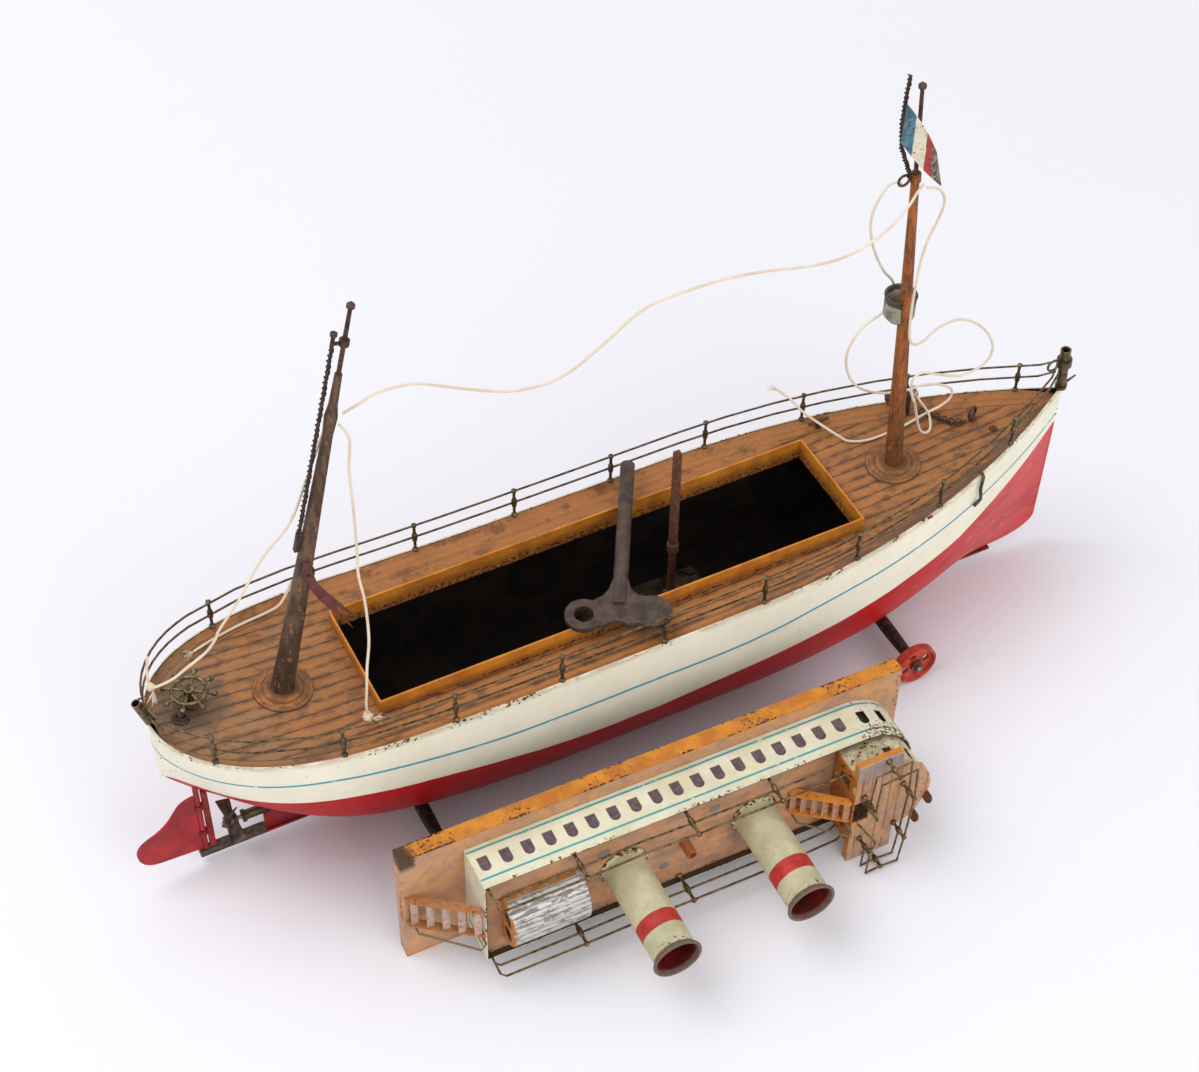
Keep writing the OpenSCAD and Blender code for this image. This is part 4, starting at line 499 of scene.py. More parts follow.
def painted(s, paint, worn, chips, size, grime=0.25, rough=0.42, specular=0.3):
    """Old enamel on tin. worn, from 0 to 1, is where it is lost first; chips is the noise level needed."""
    flakes = s.noise(size, 6, 0.66)
    gone = s.over(s.add(flakes, s.mul(worn, 0.3)), chips, 0.03)
    specks = s.spots(0.755, 0.03, 1.1, 4, 0.7, shift=5)
    gone = s.top(gone, s.mul(specks, 0.85))
    dirt = s.mul(s.spots(0.5, 0.32, 26, 5, 0.62, shift=3), grime)
    colour = s.mix(dirt, paint, s.mix(0.55, paint, (96, 76, 56)))
    tone = s.mul(s.spots(0.5, 0.5, 7, 4, shift=8), 0.12)
    colour = s.mix(tone, colour, s.mix(0.35, colour, (60, 44, 34)))
    colour = s.mix(gone, colour, rust_colour(s))
    height = s.ragged(s.mul(gone, -1), 0.5, 9, 2)
    shine = s.add(s.mul(gone, 0.4), s.ragged(rough, 0.16, 14, 4, shift=2))
    return s.done(colour, shine, 0, s.normal(height, 0.12), specular=specular)


def edge_height(s):
    """The hull edge's height at this x: it sweeps up to both ends."""
    aft = s.math("POWER", s.top(s.mul(s.x, -1 / HALF_LEN), 0), 3)
    ahead = s.math("POWER", s.top(s.mul(s.x, 1 / HALF_LEN), 0), 2)
    return s.add(HULL_HEIGHT, s.add(s.mul(aft, SHEER_STERN), s.mul(ahead, SHEER_BOW)))


def half_breadth(s):
    """The hull's half-breadth at its edge at this x."""
    stern = s.math("DIVIDE", s.sub(STERN_ROUND - HALF_LEN, s.x), STERN_ROUND, clamp=True)
    bow = s.math("DIVIDE", s.sub(s.x, HALF_LEN - BOW_TAPER), BOW_TAPER, clamp=True)
    stern = s.math("SQRT", s.sub(1, s.math("POWER", stern, STERN_POWER)))
    bow = s.sub(1, s.math("POWER", bow, BOW_POWER))
    return s.mul(stern, bow, HALF_BEAM)


def hull_outside():
    s = Shader("hull_enamel")
    edge = edge_height(s)
    line = s.fit(s.under(s.x, -165, 230), 68.3, 97.3)
    rise = s.add(s.mul(s.top(s.add(s.x, 20), 0), 0.078), s.mul(s.top(s.sub(s.x, 240), 0), 0.2))
    line = s.add(line, rise, s.wander(2, 30, 2))
    topsides = s.over(s.z, line, 0.6)
    drop = s.add(s.mul(s.under(s.x, -190, 160), 12), s.mul(s.over(s.x, 80, 110), 8))
    stripe_z = s.add(s.sub(edge, s.sub(35, drop)), s.wander(1.6, 60, 2, shift=4))
    stripe = s.near(s.sub(s.z, stripe_z), 1.1, 0.6)
    thin = s.spots(0.34, 0.12, 5, 4, stretch=(3, 1, 1))
    # Paler towards the bow: partly faded paint, partly a painted reflection of the gloss there
    red = s.mix(s.over(s.ragged(s.x, 60, 60, 3), 250, 130), RED, RED_FADE_AND_SHEEN)
    red = s.lay(red, (118, 8, 12), s.spots(0.56, 0.2, 18, 5, stretch=(3, 1, 1), shift=9), 0.35)
    scratch = s.spots(0.64, 0.06, 4, 5, 0.7, stretch=(7, 1, 1.6), shift=21)
    red = s.lay(red, (226, 150, 150), s.mul(scratch, s.over(s.x, 190, 60)), 0.6)
    cream = s.lay(CREAM, (226, 220, 194), s.spots(0.5, 0.4, 45, 4), 0.35)
    grey = s.spots(0.66, 0.08, 9, 6, 0.7, shift=31)
    cream = s.lay(cream, (186, 180, 164), grey, 0.45)
    paint = s.mix(topsides, red, s.mix(s.mul(stripe, thin), cream, TEAL))
    below = s.sub(edge, s.z)
    stain = s.mul(s.under(below, 3.5, 6), s.spots(0.44, 0.2, 6, 5, 0.65, stretch=(4, 1, 1), shift=36))
    paint = s.lay(paint, (146, 112, 78), stain, 0.42)
    patches = s.fit(s.spots(0.5, 0.2, 38, 3, shift=15), 0.1, 0.8)
    worn = s.top(s.mul(s.under(below, 1, 1.4), 0.5), s.mul(s.under(below, 6, 9), patches),
                 s.mul(s.over(s.size(s.x), 335, 26), 0.45))
    return painted(s, paint, worn, chips=0.78, size=3.2, grime=0.08, rough=0.34, specular=0.08)


def hull_inside():
    s = Shader("hull_inside")
    colour = s.blotch((17, 14, 12), (38, 29, 23), 22, 5)
    return s.done(colour, 0.75, 0, s.normal(s.noise(6, 4), 0.15), specular=0.25)


def planked():
    s = Shader("planked_deck")
    inside = s.sub(half_breadth(s), s.size(s.y))
    field = s.over(inside, DECK_MARGIN, 0.8)
    off = s.repeat(s.add(s.y, s.wander(1.4, 50, 2)), DECK_PITCH)
    seam = s.under(off, 0.62, 0.5)
    broken = s.spots(0.42, 0.12, 9, 4, 0.6, stretch=(2.2, 0.8, 1))
    port = s.mul(s.over(s.y, 40, 2), s.between(s.x, -200, 146, 4))
    margin = s.top(s.near(s.sub(inside, DECK_MARGIN), 0.55, 0.5),
                   s.mul(s.near(s.sub(inside, 6.5), 0.4, 0.4), 0.5))
    lines = s.top(s.mul(seam, field, s.fit(broken, 0.2, 1)), s.mul(margin, 0.8))
    lines = s.mul(lines, s.sub(1, s.mul(port, 0.75)))
    wood = s.lay(PLANK, PLANK_DARK, s.mul(s.chance(s.y, DECK_PITCH), field), 0.4)
    grain = s.spots(0.52, 0.3, 2.6, 5, 0.62, stretch=(9, 1, 1), shift=2)
    wood = s.lay(wood, (118, 74, 42), grain, 0.28)
    side = s.mul(s.over(s.size(s.y), 40, 6), s.between(s.x, -200, 150, 20))
    wood = s.lay(wood, (206, 140, 78), side, 0.2)
    worn = s.over(s.ragged(s.mul(s.x, -1 / 130), 2.6, 34, 5, 0.6), 3.5, 1)
    wood = s.lay(wood, DECK_GREY, worn, 0.6)
    smudge = s.spots(0.57, 0.12, 11, 6, 0.7, stretch=(1.7, 1, 1), shift=14)
    wood = s.lay(wood, (88, 63, 45), smudge, 0.62)
    soot = s.mul(s.under(off, 2, 3.4), s.spots(0.5, 0.1, 6, 5, 0.65, stretch=(1.8, 1, 1), shift=24))
    wood = s.mix(s.mul(soot, field, s.sub(0.62, s.mul(port, 0.5))), wood, (84, 58, 40))
    band = s.mul(s.under(s.y, -4, 4), s.under(inside, 13, 7), s.over(s.x, 60, 90))
    band = s.mul(band, s.spots(0.42, 0.12, 7, 6, 0.7, stretch=(5, 1, 1), shift=33))
    wood = s.lay(wood, (98, 76, 60), band, 0.8)
    wheel = s.reach(s.sub(s.x, HELM_X), s.sub(s.y, HELM_Y))
    patch = s.under(s.ragged(wheel, 18, 9, 4), 32, 12)
    wood = s.lay(wood, (92, 82, 70), patch, 0.6)
    # Darker disc right under the steering wheel: a painted shadow of the wheel
    rust = s.mul(s.under(s.ragged(wheel, 22, 5, 5, shift=41), 22, 5), 0.7)
    wood = s.mix(rust, wood, (74, 56, 44))
    colour = s.lay(wood, INK, lines, 0.68)
    specks = s.spots(0.665, 0.05, 1.8, 5, 0.7, shift=7)
    edge_wear = s.mul(s.under(inside, 2.4, 2), s.spots(0.48, 0.12, 3.2, 5, 0.65))
    edge_wear = s.mul(edge_wear, s.fit(s.under(s.y, 0, 20), 0.25, 0.7))
    colour = s.mix(s.top(s.mul(specks, 0.85), edge_wear), colour, RUST_DARK)
    colour = s.mix(s.under(s.z, 120, 2), colour, BLACK_IRON)
    height = s.sub(s.mul(grain, 0.15), s.add(s.mul(lines, 0.8), s.mul(specks, 0.6)))
    shine = s.ragged(0.44, 0.22, 8, 4, shift=3)
    return s.done(colour, shine, 0, s.normal(height, 0.14), specular=0.35)


def flange_paint():
    """The deck's brown, darker in the rings that the press left round each mast."""
    s = Shader("flange_paint")
    reach = s.low(s.reach(s.sub(s.x, AFT_MAST_X), s.y), s.reach(s.sub(s.x, FORE_MAST_X), s.y))
    paint = s.blotch((166, 108, 58), (122, 80, 46), 8, 5, soft=0.25)
    rings = s.top(s.near(s.sub(reach, 13.6), 0.5, 0.7), s.near(s.sub(reach, 17.4), 0.3, 0.5),
                  s.over(reach, 19.2, 0.6))
    rings = s.mul(rings, s.fit(s.spots(0.45, 0.2, 5, 4, shift=3), 0.4, 1))
    paint = s.lay(paint, (66, 46, 34), rings, 0.75)
    paint = s.lay(paint, (84, 58, 40), s.under(reach, 10.5, 3), 0.7)
    return painted(s, paint, 0.3, chips=0.73, size=2.4, grime=0.5, rough=0.5)


def coaming_paint():
    s = Shader("coaming_orange")
    top = s.over(s.z, COAMING_TOP, 0.5)
    paint = s.blotch(ORANGE, ORANGE_DEEP, 15, 4)
    inner = s.mul(s.near(s.y, HATCH_HALF, 0.6), s.between(s.x, HATCH_AFT, HATCH_FORE, 0.6))
    low = s.under(s.ragged(s.z, 4, 20, 3), 142, 5)
    paint = s.mix(s.mul(low, s.fit(inner, 0.4, 0.85)), paint, (72, 42, 20))
    worn = s.top(s.mul(top, s.fit(inner, 0.35, 0.75)), s.mul(s.under(s.z, 137, 5), 0.8))
    return painted(s, paint, worn, chips=0.745, size=2.8, rough=0.4)


def metal(name, light, dark, rust, rough, metallic=0.85, size=6, rust_tone=RUST):
    """Old metal: two tones in patches, with rust breaking through."""
    s = Shader(name)
    base = s.blotch(dark, light, size, 5, 0.6)
    rusty = s.over(s.noise(size * 0.8, 6, 0.7, shift=6), 0.70 - rust * 0.4, 0.14)
    tone = s.blotch(RUST_DARK, rust_tone, 1.6, 4, shift=9)
    colour = s.mix(rusty, base, tone)
    height = s.ragged(s.mul(rusty, 0.7), 0.5, 1.2, 4, 0.7, shift=1)
    shine = s.add(rough, s.mul(rusty, 0.3))
    return s.done(colour, shine, s.mul(s.sub(1, rusty), metallic), s.normal(height, 0.12))


def house_shader(name):
    """A material for the upper works, and its places along, across and up in their own frame."""
    s = Shader(name)
    cos, sin = math.cos(HOUSE_YAW), math.sin(HOUSE_YAW)
    moved = s.node("ShaderNodeVectorMath", {0: s.place, 1: list(HOUSE_START)}, operation="SUBTRACT")
    found = [s]
    for axis in ([cos, sin, 0], [0, 0, 1], [sin, -cos, 0]):
        share = s.node("ShaderNodeVectorMath", {0: moved.outputs[0], 1: axis}, operation="DOT_PRODUCT")
        found.append(share.outputs["Value"])
    return found


def tan_mix(s):
    tan = s.blotch(TAN, TAN_PINK, 24, 5, 0.6, soft=0.35)
    return s.lay(tan, (150, 122, 106), s.spots(0.56, 0.2, 8, 5, 0.65, shift=4), 0.5)


def base_paint():
    s, along, across, up = house_shader("base_paint")
    skirt = s.over(s.size(across), SKIRT_HALF, 0.3)
    orange = s.blotch(ORANGE, ORANGE_DEEP, 12, 4)
    paint = s.mix(skirt, tan_mix(s), orange)
    inside = s.mul(s.under(up, BASE_TOP, 0.3), s.near(across, SKIRT_HALF - 0.1, 0.2),
                   s.over(along, 1.3, 0.2))
    paint = s.mix(inside, paint, (104, 84, 68))
    corner = s.mul(s.under(s.ragged(along, 14, 6, 4), 17, 5), s.over(across, 44, 8))
    paint = s.lay(paint, BLACK_IRON, corner, 0.9)
    rim = s.top(s.over(up, 9.9, 1.2), s.under(up, 1.4, 1.4))
    patches = s.spots(0.52, 0.16, 30, 3, shift=19)
    worn = s.mul(skirt, s.fit(s.mul(s.top(rim, 0.4), patches), 0.2, 0.9))
    worn = s.top(worn, s.mul(s.under(along, 2, 2), 0.3), s.mul(s.over(along, 365, 6), 0.5))
    return painted(s, paint, worn, chips=0.715, size=2.6, rough=0.46)


def window_mask(s, along, up):
    """Arched panels, square towards the base and round towards the roof."""
    pitch = (WINDOW_LAST - WINDOW_FIRST) / WINDOWS
    arch_z = WINDOW_SILL + WINDOW_RISE - WINDOW_HALF
    row = s.between(along, WINDOW_FIRST - pitch / 2, WINDOW_LAST + pitch / 2, 0.1)
    off = s.repeat(s.sub(along, WINDOW_FIRST), pitch)
    square = s.mul(s.under(off, WINDOW_HALF, 0.5), s.between(up, WINDOW_SILL, arch_z, 0.5))
    reach = s.reach(off, s.top(s.sub(up, arch_z), 0))
    arch = s.mul(s.under(reach, WINDOW_HALF, 0.5), s.over(up, arch_z - 0.3, 0.2))
    return s.mul(s.top(square, arch), row)


def cabin_paint():
    s, along, across, up = house_shader("cabin_cream")
    reach = s.reach(s.top(s.sub(along, NOSE), 0), across)
    inside = s.mul(s.under(reach, CABIN_R - 0.75, 0.2), s.over(along, CABIN_AFT + 0.75, 0.2))
    cream = s.blotch(CABIN, (216, 210, 176), 30, 4, soft=0.4)
    wave = s.add(up, s.wander(0.8, 40, 2, shift=3))
    lines = s.top(*[s.near(s.sub(wave, height), 0.8, 0.4) for height in CABIN_LINES])
    side = s.over(along, CABIN_AFT + 0.3, 0.2)
    paint = s.mix(s.mul(lines, side, s.spots(0.34, 0.12, 6, 4)), cream, TEAL_GREEN)
    panel = s.mul(window_mask(s, along, up), s.over(s.size(across), CABIN_R - 2, 0.2))
    paint = s.mix(panel, paint, s.blotch(WINDOW, (84, 68, 72), 3, 4))
    aft = s.under(along, CABIN_AFT + 0.35, 0.1)
    doors = s.top(*[s.near(s.sub(s.size(s.sub(across, middle)), DOOR_HALF), 0.4, 0.2) for middle in DOORS])
    paint = s.mix(s.mul(doors, aft, s.between(up, 15, 38, 0.4)), paint, INK)
    paint = s.mix(inside, paint, (70, 58, 48))
    patches = s.spots(0.5, 0.2, 24, 3, shift=19)
    worn = s.top(s.mul(s.over(up, ROOF - 2.4, 3), s.fit(patches, 0.3, 0.75)),
                 s.mul(s.over(along, NOSE - 4, 40), s.fit(s.over(up, 33, 14), 0.45, 0.85)),
                 s.mul(s.under(along, CABIN_AFT + 4, 6), 0.35))
    return painted(s, paint, worn, chips=0.76, size=2.2, grime=0.3, specular=0.2)


def roof_paint():
    s, along, across, up = house_shader("roof_tan")
    tube = s.mul(s.over(up, ROOF - 3.4, 0.3), s.near(s.sub(along, ROOF_TUBE), 5, 0.5), s.near(across, 5, 0.5))
    paint = s.mix(tube, tan_mix(s), (176, 100, 44))
    solder = s.mul(s.over(up, ROOF - 3.9, 0.1), s.sub(1, tube))
    solder = s.top(solder, s.mul(s.spots(0.64, 0.05, 16, 5, 0.7, shift=17), 0.75))
    streaks = s.spots(0.55, 0.2, 6, 5, 0.65, stretch=(7, 1, 1), shift=27)
    paint = s.lay(paint, (146, 104, 78), streaks, 0.4)
    paint = s.mix(solder, paint, s.mix(s.noise(3, 4), (110, 100, 96), (150, 138, 130)))
    end = s.over(s.size(s.sub(along, 178)), 120, 40)
    paint = s.lay(paint, (128, 92, 70), end, 0.35)
    paint = s.mix(s.under(up, ROOF - 5, 0.1), paint, (66, 54, 46))
    worn = s.mul(s.over(s.size(across), 36, 6), 0.4)
    return painted(s, paint, worn, chips=0.7, size=3.2, grime=0.55, rough=0.52)


def funnel_paint(name, centre):
    s, along, across, up = house_shader(name)
    reach = s.reach(s.sub(along, centre), across)
    cream = s.blotch(FUNNEL, (182, 176, 140), 13, 5, 0.6)
    freckles = s.spots(0.60, 0.08, 2.2, 5, 0.7, shift=2)
    cream = s.lay(cream, (142, 130, 98), freckles, 0.35)
    band = s.between(s.add(up, s.wander(1.2, 16, 2)), BAND_LOW, BAND_TOP, 0.7)
    paint = s.mix(band, cream, s.blotch(BAND, (158, 40, 34), 6, 5))
    lip = s.over(s.ragged(up, 2.4, 3, 4), FUNNEL_MOUTH, 0.8)
    lip_tone = s.mix(s.noise(2.4, 5), (62, 50, 43), (134, 112, 96))
    paint = s.mix(s.mul(lip, s.over(reach, FUNNEL_R - 0.1, 0.3)), paint, lip_tone)
    inner = s.mul(s.under(reach, FUNNEL_R, 0.3), s.over(up, ROOF - 3, 0.1))
    paint = s.mix(inner, paint, s.mix(s.spots(0.45, 0.3, 9, 4), (128, 16, 18), (84, 14, 14)))
    worn = s.top(s.mul(s.under(up, ROOF - 1, 3.5), 0.9), s.mul(s.between(up, 110, 118, 3), 0.45))
    return painted(s, paint, worn, chips=0.75, size=2.8, rough=0.45)


def bridge_paint():
    s, along, across, up = house_shader("bridge_cream")
    cream = s.blotch((214, 206, 172), (186, 170, 132), 9, 4)
    strip = s.top(s.over(up, BRIDGE_FLOOR - 4.2, 0.6), s.under(along, BRIDGE_AFT - 0.1, 0.3))
    strip = s.mul(strip, s.sub(1, s.spots(0.66, 0.05, 20, 3, shift=12)))
    paint = s.mix(strip, cream, s.mix(s.noise(4, 4), ORANGE_DEEP, (170, 96, 38)))
    return painted(s, paint, 0.55, chips=0.755, size=2.8, grime=0.4, rough=0.5)


def bridge_deck_paint():
    s, along, across, up = house_shader("bridge_deck_tan")
    worn = s.spots(0.54, 0.16, 8, 6, 0.68, stretch=(1, 1, 5), shift=7)
    tan = s.lay(tan_mix(s), (150, 124, 110), worn, 0.6)
    seams = s.mul(s.under(s.repeat(along, BRIDGE_PITCH), 0.7, 0.8),
                  s.spots(0.46, 0.14, 5, 5, 0.65, stretch=(1, 1, 3)))
    tan = s.lay(tan, (92, 70, 58), seams, 0.6)
    grey = s.mul(s.over(across, 36, 14), s.spots(0.42, 0.14, 10, 5, 0.65, shift=28))
    tan = s.lay(tan, (150, 142, 140), grey, 0.8)
    edge = s.mul(s.under(up, BRIDGE_FLOOR, 0.2),
                 s.top(s.under(along, BRIDGE_AFT, 0.2), s.over(s.size(across), BRIDGE_HALF, 0.2)))
    tan = s.mix(edge, tan, s.mix(s.noise(5, 4), ORANGE, ORANGE_DEEP))
    tan = s.mix(s.over(up, BRIDGE_FLOOR + 1.6, 0.5), tan, (112, 72, 48))
    return painted(s, tan, 0.3, chips=0.73, size=2.2, grime=0.4, rough=0.55)


def stair_paint(name, first, rail, string_tone, tread_tone):
    """Treads between two strings, whose inner face is first from the middle, and a dark handrail."""
    s, along, across, up = house_shader(name)
    string = s.over(s.size(across), first, 0.3)
    paint = s.mix(string, s.mix(s.noise(5, 4), tread_tone, s.mix(0.4, tread_tone, RUST)), string_tone)
    worn = s.spots(0.56, 0.08, 4, 5, 0.7, shift=9)
    paint = s.lay(paint, (120, 82, 56), worn, 0.4)
    paint = s.mix(s.under(across, -rail, 0.3), paint, BRONZE)
    return painted(s, paint, 0.4, chips=0.75, size=2.4, grime=0.35, rough=0.52)


def skylight_paint():
    s, along, across, up = house_shader("skylight_tin")
    rib = s.under(s.repeat(s.add(across, s.wander(0.8, 8, 2)), SKYLIGHT_PITCH), 0.55, 0.7)
    flaking = s.over(s.add(s.noise(3.6, 6, 0.72, stretch=(2.6, 1, 1)), s.mul(rib, 0.07)), 0.56, 0.05)
    silver = s.lay((190, 187, 182), (118, 110, 102), flaking, 0.8)
    silver = s.lay(silver, (124, 117, 110), rib, 0.4)
    frame_parts = s.top(s.under(up, ROOF + 1.6, 0.4), s.under(along, CABIN_AFT + 14.4, 0.2))
    orange = s.mul(frame_parts, s.spots(0.42, 0.1, 6, 4))
    colour = s.mix(orange, silver, s.mix(s.noise(5, 4), (206, 130, 50), (150, 94, 50)))
    height = s.sub(s.mul(s.noise(1.3, 4), 0.5), s.add(s.mul(flaking, 0.7), s.mul(rib, 1.2)))
    metallic = s.mul(s.sub(1, flaking), s.sub(1, orange), 0.4)
    return s.done(colour, s.fit(flaking, 0.42, 0.77), metallic, s.normal(height, 0.26, 0.7), specular=0.4)


def wheel_paint():
    s = Shader("wheel_red")
    paint = s.blotch((202, 74, 52), (164, 46, 34), 6, 5)
    height = s.sub(s.z, AXLE_Z)
    reach = s.low(s.reach(s.sub(s.x, AFT_AXLE_X), height), s.reach(s.sub(s.x, FORE_AXLE_X), height))
    hub = s.under(s.ragged(reach, 3, 3, 4), 6.6, 1.4)
    paint = s.lay(paint, (66, 52, 46), hub, 0.85)
    return painted(s, paint, 0.3, chips=0.75, size=2.6, grime=0.35, rough=0.5)


def rudder_red(s):
    return s.blotch((176, 34, 42), (140, 24, 32), 16, 5)


def rudder_paint():
    s = Shader("rudder_red")
    scuff = s.spots(0.64, 0.05, 7, 6, 0.72, stretch=(1, 1, 2.5))
    scuff = s.mul(scuff, s.under(s.x, -352, 12))
    paint = s.lay(rudder_red(s), (168, 150, 138), scuff, 0.8)
    return painted(s, paint, 0.3, chips=0.77, size=2.6, grime=0.2)


def stock_paint():
    """Red with the rudder below the hull, bare above."""
    s = Shader("rudder_stock_paint")
    steel = s.mix(s.noise(4, 5), (96, 88, 80), (60, 52, 46))
    return painted(s, s.mix(s.under(s.z, STOCK_BARE_Z, 0.5), steel, rudder_red(s)), 0.5, chips=0.76, size=2.4)


def keel_paint():
    s = Shader("keel_red")
    red = s.blotch((158, 20, 24), (110, 14, 16), 20, 5)
    heel = s.mul(s.between(s.x, HEEL_AFT, HEEL_FORE, 0.6), s.under(s.z, HEEL_TOP, 0.6))
    iron = s.blotch((92, 80, 70), (48, 40, 35), 3, 5)
    return painted(s, s.mix(heel, red, iron), 0.35, chips=0.765, size=2.8, grime=0.3, rough=0.5)


def flag_paint():
    """Blue, white and red across the tin, the red flaked off towards its free end."""
    s = Shader("flag_tin")
    place = s.add(s.x, s.wander(1.8, 7, 3))
    blue = s.blotch((74, 136, 160), (58, 92, 104), 5, 5, 0.65, soft=0.25)
    white = s.mix(s.noise(5, 4, shift=3), (230, 222, 200), (206, 194, 168))
    red = s.mix(s.noise(5, 4, shift=6), (186, 62, 56), (140, 48, 44))
    bare = s.blotch((62, 58, 56), (150, 132, 120), 3, 6, 0.7, shift=13, soft=0.1)
    paint = s.mix(s.over(place, FLAG_WHITE_X, 0.7), blue, white)
    paint = s.mix(s.over(place, FLAG_RED_X, 0.7), paint, red)
    paint = s.mix(s.over(s.add(place, s.wander(9, 4, 5)), FLAG_BARE_X, 1.2), paint, bare)
    return painted(s, paint, 0.5, chips=0.75, size=2.2, grime=0.35, rough=0.55)


def pennant_paint():
    s = Shader("pennant_red")
    paint = s.blotch((120, 58, 62), (84, 40, 42), 10, 5)
    return painted(s, paint, 0.4, chips=0.72, size=3, grime=0.5, rough=0.5)


def nest_paint():
    s = Shader("nest_grey")
    reach = s.reach(s.sub(s.x, NEST_X), s.sub(s.y, NEST_Y))
    outside = s.blotch((166, 166, 146), (122, 120, 104), 6, 5)
    ribs = s.under(s.repeat(s.z, 1.7), 0.3, 0.3)
    outside = s.lay(outside, (84, 78, 66), ribs, 0.3)
    inside = s.blotch((206, 204, 192), (168, 164, 150), 6, 5)
    paint = s.mix(s.over(reach, 10, 0.2), inside, outside)
    rim = s.over(s.ragged(s.z, 6, 3, 5), NEST_TOP, 1)
    paint = s.lay(paint, (58, 50, 44), rim, 0.9)
    worn = s.top(s.over(s.z, NEST_TOP - 1, 2), s.under(s.z, NEST_LOW, 1))
    return painted(s, paint, s.fit(worn, 0.25, 0.65), chips=0.77, size=2.2, grime=0.3, rough=0.5)


def mast_metal(name, light, dark, low_tone, low_z):
    """Rusty tin tube, darker towards its foot."""
    s = Shader(name)
    base = s.blotch(dark, light, 7, 6, 0.68, stretch=(1, 1, 3.5), soft=0.2)
    base = s.lay(base, low_tone, s.under(s.ragged(s.z, 60, 30, 4), low_z, 80), 0.6)
    streaks = s.spots(0.58, 0.12, 3.2, 5, 0.7, stretch=(1, 1, 7), shift=12)
    base = s.lay(base, (58, 42, 32), streaks, 0.7)
    pits = s.spots(0.60, 0.08, 1.9, 5, 0.72, shift=5)
    colour = s.lay(base, (44, 30, 24), pits, 0.7)
    bloom = s.spots(0.62, 0.08, 3.4, 5, 0.7, stretch=(1, 1, 2), shift=15)
    colour = s.lay(colour, (182, 112, 58), bloom, 0.7)
    height = s.ragged(s.mul(pits, -0.8), 0.5, 0.9, 4, 0.7)
    return s.done(colour, 0.6, 0.2, s.normal(height, 0.16), specular=0.35)


def yarn_cotton():
    s = Shader("twine_cotton")
    tone = s.blotch((238, 226, 206), (220, 201, 174), 24, 3, soft=0.4)
    # Fine darker mottle: painted shade of the grooves between the plies, laid as noise
    colour = s.lay(tone, (186, 164, 136), s.noise(0.5, 4, 0.7), 0.35)
    return s.done(colour, 0.95, 0, s.normal(s.noise(0.28, 3, 0.7), 0.12, 0.7), sheen=0.15, specular=0.2)


# ---- hull

STATIONS = 180
RING_HALF = 30


def ramp(a, b, x):
    return min(max((x - a) / (b - a), 0.0), 1.0)


def ease(a, b, x):
    t = ramp(a, b, x)
    return t * t * (3 - 2 * t)


def edge_z(x):
    if x < 0:
        return HULL_HEIGHT + SHEER_STERN * (-x / HALF_LEN) ** 3
    return HULL_HEIGHT + SHEER_BOW * (x / HALF_LEN) ** 2


def half_beam(x):
    stern = math.sqrt(max(1 - ramp(STERN_ROUND - HALF_LEN, -HALF_LEN, x) ** STERN_POWER, 0))
    bow = 1 - ramp(HALF_LEN - BOW_TAPER, HALF_LEN, x) ** BOW_POWER
    return max(HALF_BEAM * stern * bow, STEM_HALF)


def bottom_z(x):
    run = COUNTER_RISE * ramp(STERN_RUN - HALF_LEN, -HALF_LEN, x) ** 2.2
    foot = FOREFOOT_RISE * (1 - math.sqrt(1 - ramp(HALF_LEN - FOREFOOT_LEN, HALF_LEN, x) ** 2))
    return KEEL_T + run + foot


def powers(x):
    bow, stern = ease(0.43 * HALF_LEN, HALF_LEN, x), ease(-0.23 * HALF_LEN, -HALF_LEN, x)
    return (3.4 + bow * (2.2 - 3.4) + stern * (1.9 - 3.4), 2.2 + bow * (1.15 - 2.2) + stern * (0.85 - 2.2))


def skin_ring(x, inset):
    """One ring of the hull's skin, from the starboard edge under the keel to the port edge."""
    breadth = max(half_beam(x) - inset, STEM_HALF / 2)
    low, high = bottom_z(x) + inset, edge_z(x)
    height_power, beam_power = powers(x)
    ring = []
    for j in range(2 * RING_HALF + 1):
        a = math.radians(90 * (j - RING_HALF) / RING_HALF)
        y = math.copysign(breadth * abs(math.sin(a)) ** (2 / beam_power), a)
        z = low + (high - low) * (1 - abs(math.cos(a)) ** (2 / height_power))
        ring.append((x * MM, y * MM, z * MM))
    return ring


def build_hull():
    """The plated skin in place of the faceted CAD shell: same form, finer rings, bare inside."""
    ring = 2 * RING_HALF + 1
    points = []
    for inset_x, inset in ((0.0, 0.0), (END_WALL, SHEET)):
        for i in range(STATIONS + 1):
            points += skin_ring(-(HALF_LEN - inset_x) * math.cos(math.pi * i / STATIONS), inset)
    size = (STATIONS + 1) * ring
    faces, inner = [], []

    def add_face(corners, flip, side):
        faces.append(corners[::-1] if flip else corners)
        inner.append(side)

    for side in (0, 1):
        for i in range(STATIONS):
            for j in range(ring - 1):
                a = side * size + i * ring + j
                add_face((a, a + 1, a + ring + 1, a + ring), not side, side)
    for i in range(STATIONS):
        for j in (0, ring - 1):
            a = i * ring + j
            add_face((a, a + ring, size + a + ring, size + a), j, 0)
    for i in (0, STATIONS):
        for side in (0, 1):
            start = side * size + i * ring
            for j in range(RING_HALF):
                quad = (start + j, start + j + 1, start + ring - 2 - j, start + ring - 1 - j)
                quad = quad[:2] + ((quad[3],) if quad[1] == quad[2] else quad[2:])
                add_face(quad, (i == 0) != bool(side), side)
    return points, faces, inner


def add_hull():
    points, faces, inner = build_hull()
    hull = add_mesh("hull_skin", points, faces)
    hull.data.materials.append(hull_outside())
    hull.data.materials.append(hull_inside())
    hull.data.polygons.foreach_set("material_index", inner)
    hull.data.set_sharp_from_angle(angle=math.radians(50))
    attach(hull, "ship")
    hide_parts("hull")


# ---- cabin

